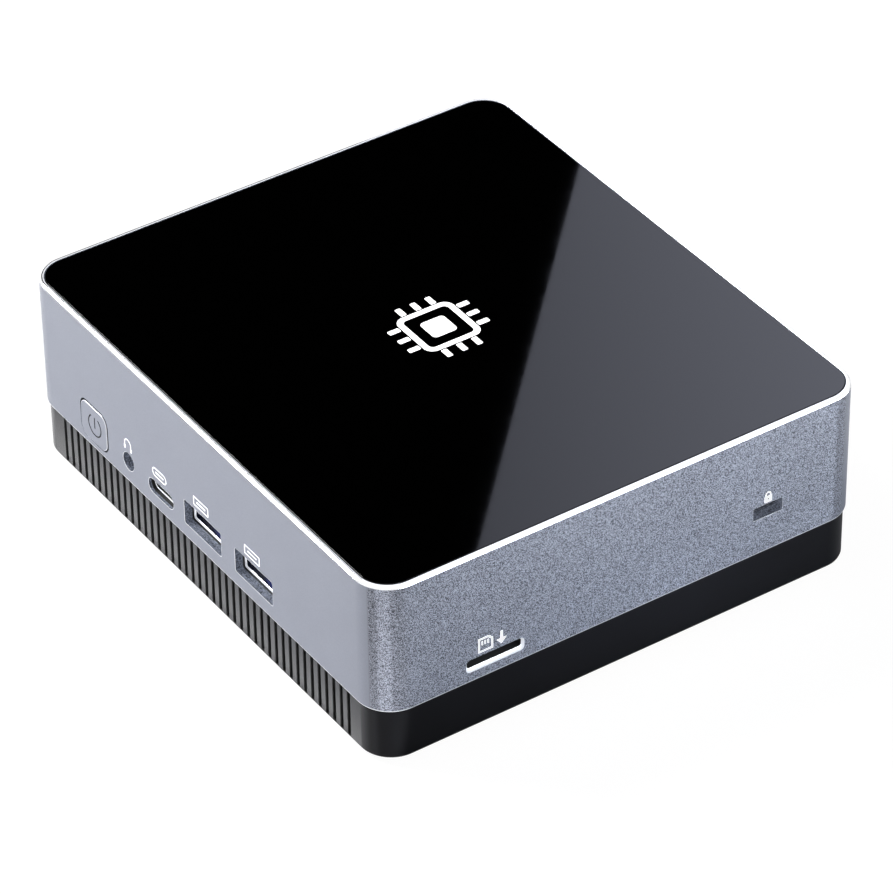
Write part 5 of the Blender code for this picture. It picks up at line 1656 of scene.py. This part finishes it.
def make_lan_jack():
    """The network jack: a shielded block with a stepped well, eight springs and two light windows."""
    low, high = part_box("lan_jack")
    depth = high.y - low.y
    place = facing_rear((low.x + high.x) / 2, (low.z + high.z) / 2, high.y)
    half = 5.9 * MM
    latch = 3.2 * MM
    floor = -4.6 * MM
    step = 3.6 * MM
    roof = 5.4 * MM
    well = [
        (half, floor), (half, step), (latch, step), (latch, roof),
        (-latch, roof), (-latch, step), (-half, step), (-half, floor),
    ]
    looks = [plated_steel(), black_insulator()]
    shape = bmesh.new()
    outline = rounded(16.0 * MM, 13.5 * MM, 0.5 * MM)
    rings = [
        on_plane(outline(-0.12 * MM), "Y", 0.0),
        on_plane(outline(0.0), "Y", 0.15 * MM),
        on_plane(outline(0.0), "Y", depth),
    ]
    add_skin(shape, rings)
    jack = add_object("lan_jack_drawn", shape, looks, place)
    cutter = bmesh.new()
    add_prism(cutter, well, "Y", -1 * MM, 12.5 * MM, (0.0, 0.0), 1)
    carve(jack, [add_object("lan_well", cutter, looks, place)])
    settle(jack, "case", "plated_steel", "lan_jack")
    springs = bmesh.new()
    for pin in range(8):
        u = (pin - 3.5) * 1.02 * MM
        profile = ((2.6, -4.55), (9.5, -1.4), (10.2, -1.6), (10.2, -1.9), (9.4, -1.75), (2.9, -4.75))
        sides = [[(u + side * 0.2 * MM, d * MM, w * MM) for d, w in profile] for side in (-1, 1)]
        add_skin(springs, sides)
    settle(add_object("lan_springs", springs, [gold_contact()], place), "case", "brass")
    for sign, name, dark, light in (
        (-1, "green_window", (0.02, 0.16, 0.03), (0.05, 0.30, 0.06)),
        (1, "amber_window", (0.40, 0.16, 0.01), (0.62, 0.30, 0.03)),
    ):
        window = bmesh.new()
        add_block(
            window,
            (sign * 5.6 * MM - 1.1 * MM, -0.12 * MM, 4.4 * MM),
            (sign * 5.6 * MM + 1.1 * MM, 0.6 * MM, 5.9 * MM),
            0.2 * MM,
        )
        settle(
            add_object(f"lan_{name}", window, [light_pipe(name, dark, light)], place),
            "case",
            "black_insulator",
        )


# Inside


def make_board_parts():
    """Small parts on the mainboard: rows of chokes, capacitors and chips, clear of what is on it."""
    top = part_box("mainboard")[1].z
    chips = bmesh.new()
    metal = bmesh.new()
    for column in range(7):
        x = -50.0 * MM + 4.6 * MM * column
        for row in range(3):
            y = 8.0 * MM + 5.0 * MM * row
            add_block(chips, (x, y, top), (x + 3.6 * MM, y + 3.6 * MM, top + 1.6 * MM), 0.3 * MM)
    for column in range(16):
        x = 28.0 * MM + 1.6 * MM * column
        for row in range(6):
            y = -36.0 * MM + 3.4 * MM * row
            add_block(metal, (x, y, top), (x + 0.8 * MM, y + 1.6 * MM, top + 0.7 * MM), 0.1 * MM)
    for x, y, side in ((33.0, 2.0, 9.0), (46.0, 4.0, 7.0), (33.0, 16.0, 7.0), (-46.0, -24.0, 8.0)):
        corner = (x * MM, y * MM, top)
        add_block(
            chips, corner, (corner[0] + side * MM, corner[1] + side * MM, top + 1.0 * MM), 0.2 * MM
        )
    settle(
        add_object("board_chips", chips, [package_resin()]), "case", "circuit_board"
    )
    settle(add_object("board_capacitors", metal, [bare_aluminium()]), "case", "bare_aluminium")


def dress_carried_nodes():
    """Node materials for the solids of the frame that stay as they are."""
    memory = ("memory_module_1", "memory_module_2")
    sockets = ("memory_socket_1", "memory_socket_2", "ssd_socket", "wifi_socket")
    for look, names in (
        (circuit_board(), ("mainboard", *memory, "ssd", "wifi_card")),
        (package_resin(), ("processor",)),
        (copper(), ("cold_plate", "heat_pipe_1", "heat_pipe_2")),
        (bare_aluminium(), ("fin_stack",)),
        (moulded_black(), ("fan_housing",)),
        (blackened_steel(), ("fan_lid",)),
        (black_insulator(), ("fan_rotor", *sockets, "coin_cell_holder", "switch_plunger")),
        (winding(), ("fan_motor",)),
        (brass(), ("ssd_standoff",)),
        (plated_steel(), ("coin_cell", "switch_body", "lock_plate")),
    ):
        for name in names:
            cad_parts[name].material_slots[0].material = look


# Studio

VIEW_AZIMUTH = math.radians(56.3097)
VIEW_ELEVATION = math.radians(37.3201)
VIEW_ROLL = math.radians(-0.7944)
VIEW_DISTANCE = 0.99767
VIEW_SHIFT = (0.00117, 0.0094)
LENS = 201.39


def make_camera():
    """A long lens that looks down on the front right corner."""
    cos_e = math.cos(VIEW_ELEVATION)
    back = Vector(
        (math.sin(VIEW_AZIMUTH) * cos_e, -math.cos(VIEW_AZIMUTH) * cos_e, math.sin(VIEW_ELEVATION))
    )
    level = Vector((math.cos(VIEW_AZIMUTH), math.sin(VIEW_AZIMUTH), 0.0))
    up = back.cross(level)
    right = math.cos(VIEW_ROLL) * level + math.sin(VIEW_ROLL) * up
    upright = math.cos(VIEW_ROLL) * up - math.sin(VIEW_ROLL) * level
    target = Vector((0.0, 0.0, BASE_LOW.z)) + VIEW_SHIFT[0] * right + VIEW_SHIFT[1] * upright
    camera = bpy.data.objects.new("camera", bpy.data.cameras.new("camera"))
    camera.data.lens = LENS
    camera.data.sensor_width = 36.0
    turn = Matrix((right, upright, back)).transposed().to_4x4()
    camera.matrix_world = Matrix.Translation(target + VIEW_DISTANCE * back) @ turn
    bpy.context.scene.collection.objects.link(camera)
    bpy.context.scene.camera = camera


def make_light(name, direction, distance, size, radiance, tint=(1.0, 1.0, 1.0), on_floor=True):
    """A soft box of that width and height that faces the object. Only reflections show it."""
    width, height = size
    light = bpy.data.lights.new(name, "AREA")
    light.shape = "RECTANGLE"
    light.size = width
    light.size_y = height
    light.energy = radiance * math.pi * width * height
    light.color = tint
    box = bpy.data.objects.new(name, light)
    away = Vector(direction).normalized()
    box.location = away * distance
    box.rotation_euler = away.to_track_quat("Z", "Y").to_euler()
    box.visible_camera = False
    box.visible_diffuse = on_floor
    bpy.context.scene.collection.objects.link(box)


# The lights' strengths, and where the card beside the case is bright.
KEY_RADIANCE = 34.0
FILL_RADIANCE = 13.0
TOP_RADIANCE = 0.9
SKY_RADIANCE = 1.15
CARD_RADIANCE = 1.1
CARD_BASE = 1.26
CARD_RISE = 5.6
CARD_FALL = 1.4
AMBIENT = 0.12
DARK_SIDE = (-0.66, 0.46, 0.594)
DARK_EDGE = (0.86, 0.94)


def make_lights():
    make_light("key", (-0.62, -0.42, 0.66), 1.1, (0.45, 0.45), KEY_RADIANCE)
    make_light("fill", (0.80, 0.55, 0.25), 0.95, (1.7, 0.5), FILL_RADIANCE, (0.84, 0.91, 1.0), False)
    make_light("overhead", (0.1, -0.1, 1.0), 1.5, (1.0, 1.0), TOP_RADIANCE)


def falloff(tree, start, along, outward):
    """The card's glow: dimmer along its edge towards the camera, and brighter away from that edge."""
    source = tree.nodes.new("ShaderNodeTexCoord")
    across = (outward - outward.dot(along) * along).normalized()
    slope = across * CARD_RISE - along * CARD_FALL
    dot = tree.nodes.new("ShaderNodeVectorMath")
    dot.operation = "DOT_PRODUCT"
    dot.inputs[1].default_value = slope
    tree.links.new(source.outputs["Object"], dot.inputs[0])
    return arithmetic(tree, "ADD", dot.outputs["Value"], CARD_BASE - slope.dot(start))


def emitter(name):
    made = bpy.data.materials.new(name)
    made.use_nodes = True
    tree = made.node_tree
    tree.nodes.clear()
    glow = tree.nodes.new("ShaderNodeEmission")
    glow.inputs["Color"].default_value = (0.795, 0.83, 1.0, 1.0)
    out = tree.nodes.new("ShaderNodeOutputMaterial")
    tree.links.new(glow.outputs["Emission"], out.inputs["Surface"])
    return made, tree, glow


def make_reflector():
    """A pale card behind the left of the scene. The right part of the black panel mirrors it."""
    lower = Vector((-0.838, 0.633, 0.715))
    upper = Vector((-0.719, 0.497, 0.788))
    along = (upper - lower).normalized()
    start = lower - 0.6 * along
    end = upper + 0.6 * along
    outward = Vector((0.10, 0.15, 0.02))
    sheet = bmesh.new()
    corners = [start, end, end + outward * 2.2, start + outward * 2.2]
    sheet.faces.new([sheet.verts.new(corner) for corner in corners])
    made, tree, glow = emitter("card_glow")
    level = falloff(tree, lower, along, outward)
    tree.links.new(arithmetic(tree, "MULTIPLY", level, CARD_RADIANCE), glow.inputs["Strength"])
    card = add_object("reflector_card", sheet, [made])
    card.visible_camera = False
    card.visible_diffuse = False
    card.visible_shadow = False


def make_floor():
    """A plain pale floor. The camera sees it almost white, so only a trace of shadow is left."""
    made = bpy.data.materials.new("pale_floor")
    made.use_nodes = True
    tree = made.node_tree
    shader = tree.nodes["Principled BSDF"]
    shader.inputs["Roughness"].default_value = 0.9
    shader.inputs["Specular IOR Level"].default_value = 0.0
    tone = tones(tree, grain(tree, 80 * MM), (0.79, 0.79, 0.80), (0.81, 0.81, 0.82))
    tree.links.new(tone, shader.inputs["Base Color"])
    white = tree.nodes.new("ShaderNodeEmission")
    white.inputs["Strength"].default_value = 1.06
    path = tree.nodes.new("ShaderNodeLightPath")
    mix = tree.nodes.new("ShaderNodeMixShader")
    tree.links.new(arithmetic(tree, "MULTIPLY", path.outputs["Is Camera Ray"], 0.92), mix.inputs["Fac"])
    tree.links.new(shader.outputs["BSDF"], mix.inputs[1])
    tree.links.new(white.outputs["Emission"], mix.inputs[2])
    tree.links.new(mix.outputs["Shader"], tree.nodes["Material Output"].inputs["Surface"])
    sheet = bmesh.new()
    reach = 4.0
    below = -0.05 * MM
    corners = ((-reach, -reach), (reach, -reach), (reach, reach), (-reach, reach))
    sheet.faces.new([sheet.verts.new((x, y, below)) for x, y in corners])
    floor = add_object("floor", sheet, [made])


def make_world():
    """White to the camera and dim to matt surfaces. Glossy ones see a pale room with a dark side.

    The dark side is where the black panel looks from the camera's place.
    """
    world = bpy.data.worlds.new("studio")
    bpy.context.scene.world = world
    world.use_nodes = True
    tree = world.node_tree
    tree.nodes.clear()
    path = tree.nodes.new("ShaderNodeLightPath")
    white = tree.nodes.new("ShaderNodeBackground")
    dim = tree.nodes.new("ShaderNodeBackground")
    dim.inputs["Strength"].default_value = AMBIENT
    room = tree.nodes.new("ShaderNodeBackground")
    source = tree.nodes.new("ShaderNodeTexCoord")
    towards = tree.nodes.new("ShaderNodeVectorMath")
    towards.operation = "DOT_PRODUCT"
    towards.inputs[1].default_value = DARK_SIDE
    tree.links.new(source.outputs["Generated"], towards.inputs[0])
    level = spread(tree, towards.outputs["Value"], SKY_RADIANCE, 0.0, *DARK_EDGE)
    tree.links.new(level, room.inputs["Strength"])
    by_gloss = tree.nodes.new("ShaderNodeMixShader")
    by_camera = tree.nodes.new("ShaderNodeMixShader")
    out = tree.nodes.new("ShaderNodeOutputWorld")
    tree.links.new(path.outputs["Is Glossy Ray"], by_gloss.inputs["Fac"])
    tree.links.new(dim.outputs["Background"], by_gloss.inputs[1])
    tree.links.new(room.outputs["Background"], by_gloss.inputs[2])
    tree.links.new(path.outputs["Is Camera Ray"], by_camera.inputs["Fac"])
    tree.links.new(by_gloss.outputs["Shader"], by_camera.inputs[1])
    tree.links.new(white.outputs["Background"], by_camera.inputs[2])
    tree.links.new(by_camera.outputs["Shader"], out.inputs["Surface"])


make_housing()
make_panel()
make_base()
make_feet()
make_screws()
make_inserts()
make_rear_plate()
make_button()
make_usb_a_ports()
make_usb_c_port()
make_audio_jack()
make_card_reader()
make_dc_inlet()
make_hdmi_ports()
make_lan_jack()
top_mark()
front_marks()
side_marks()
rear_marks()
make_board_parts()
dress_carried_nodes()
make_world()
make_floor()
make_reflector()
make_lights()
make_camera()
bpy.context.scene.view_settings.view_transform = "Standard"
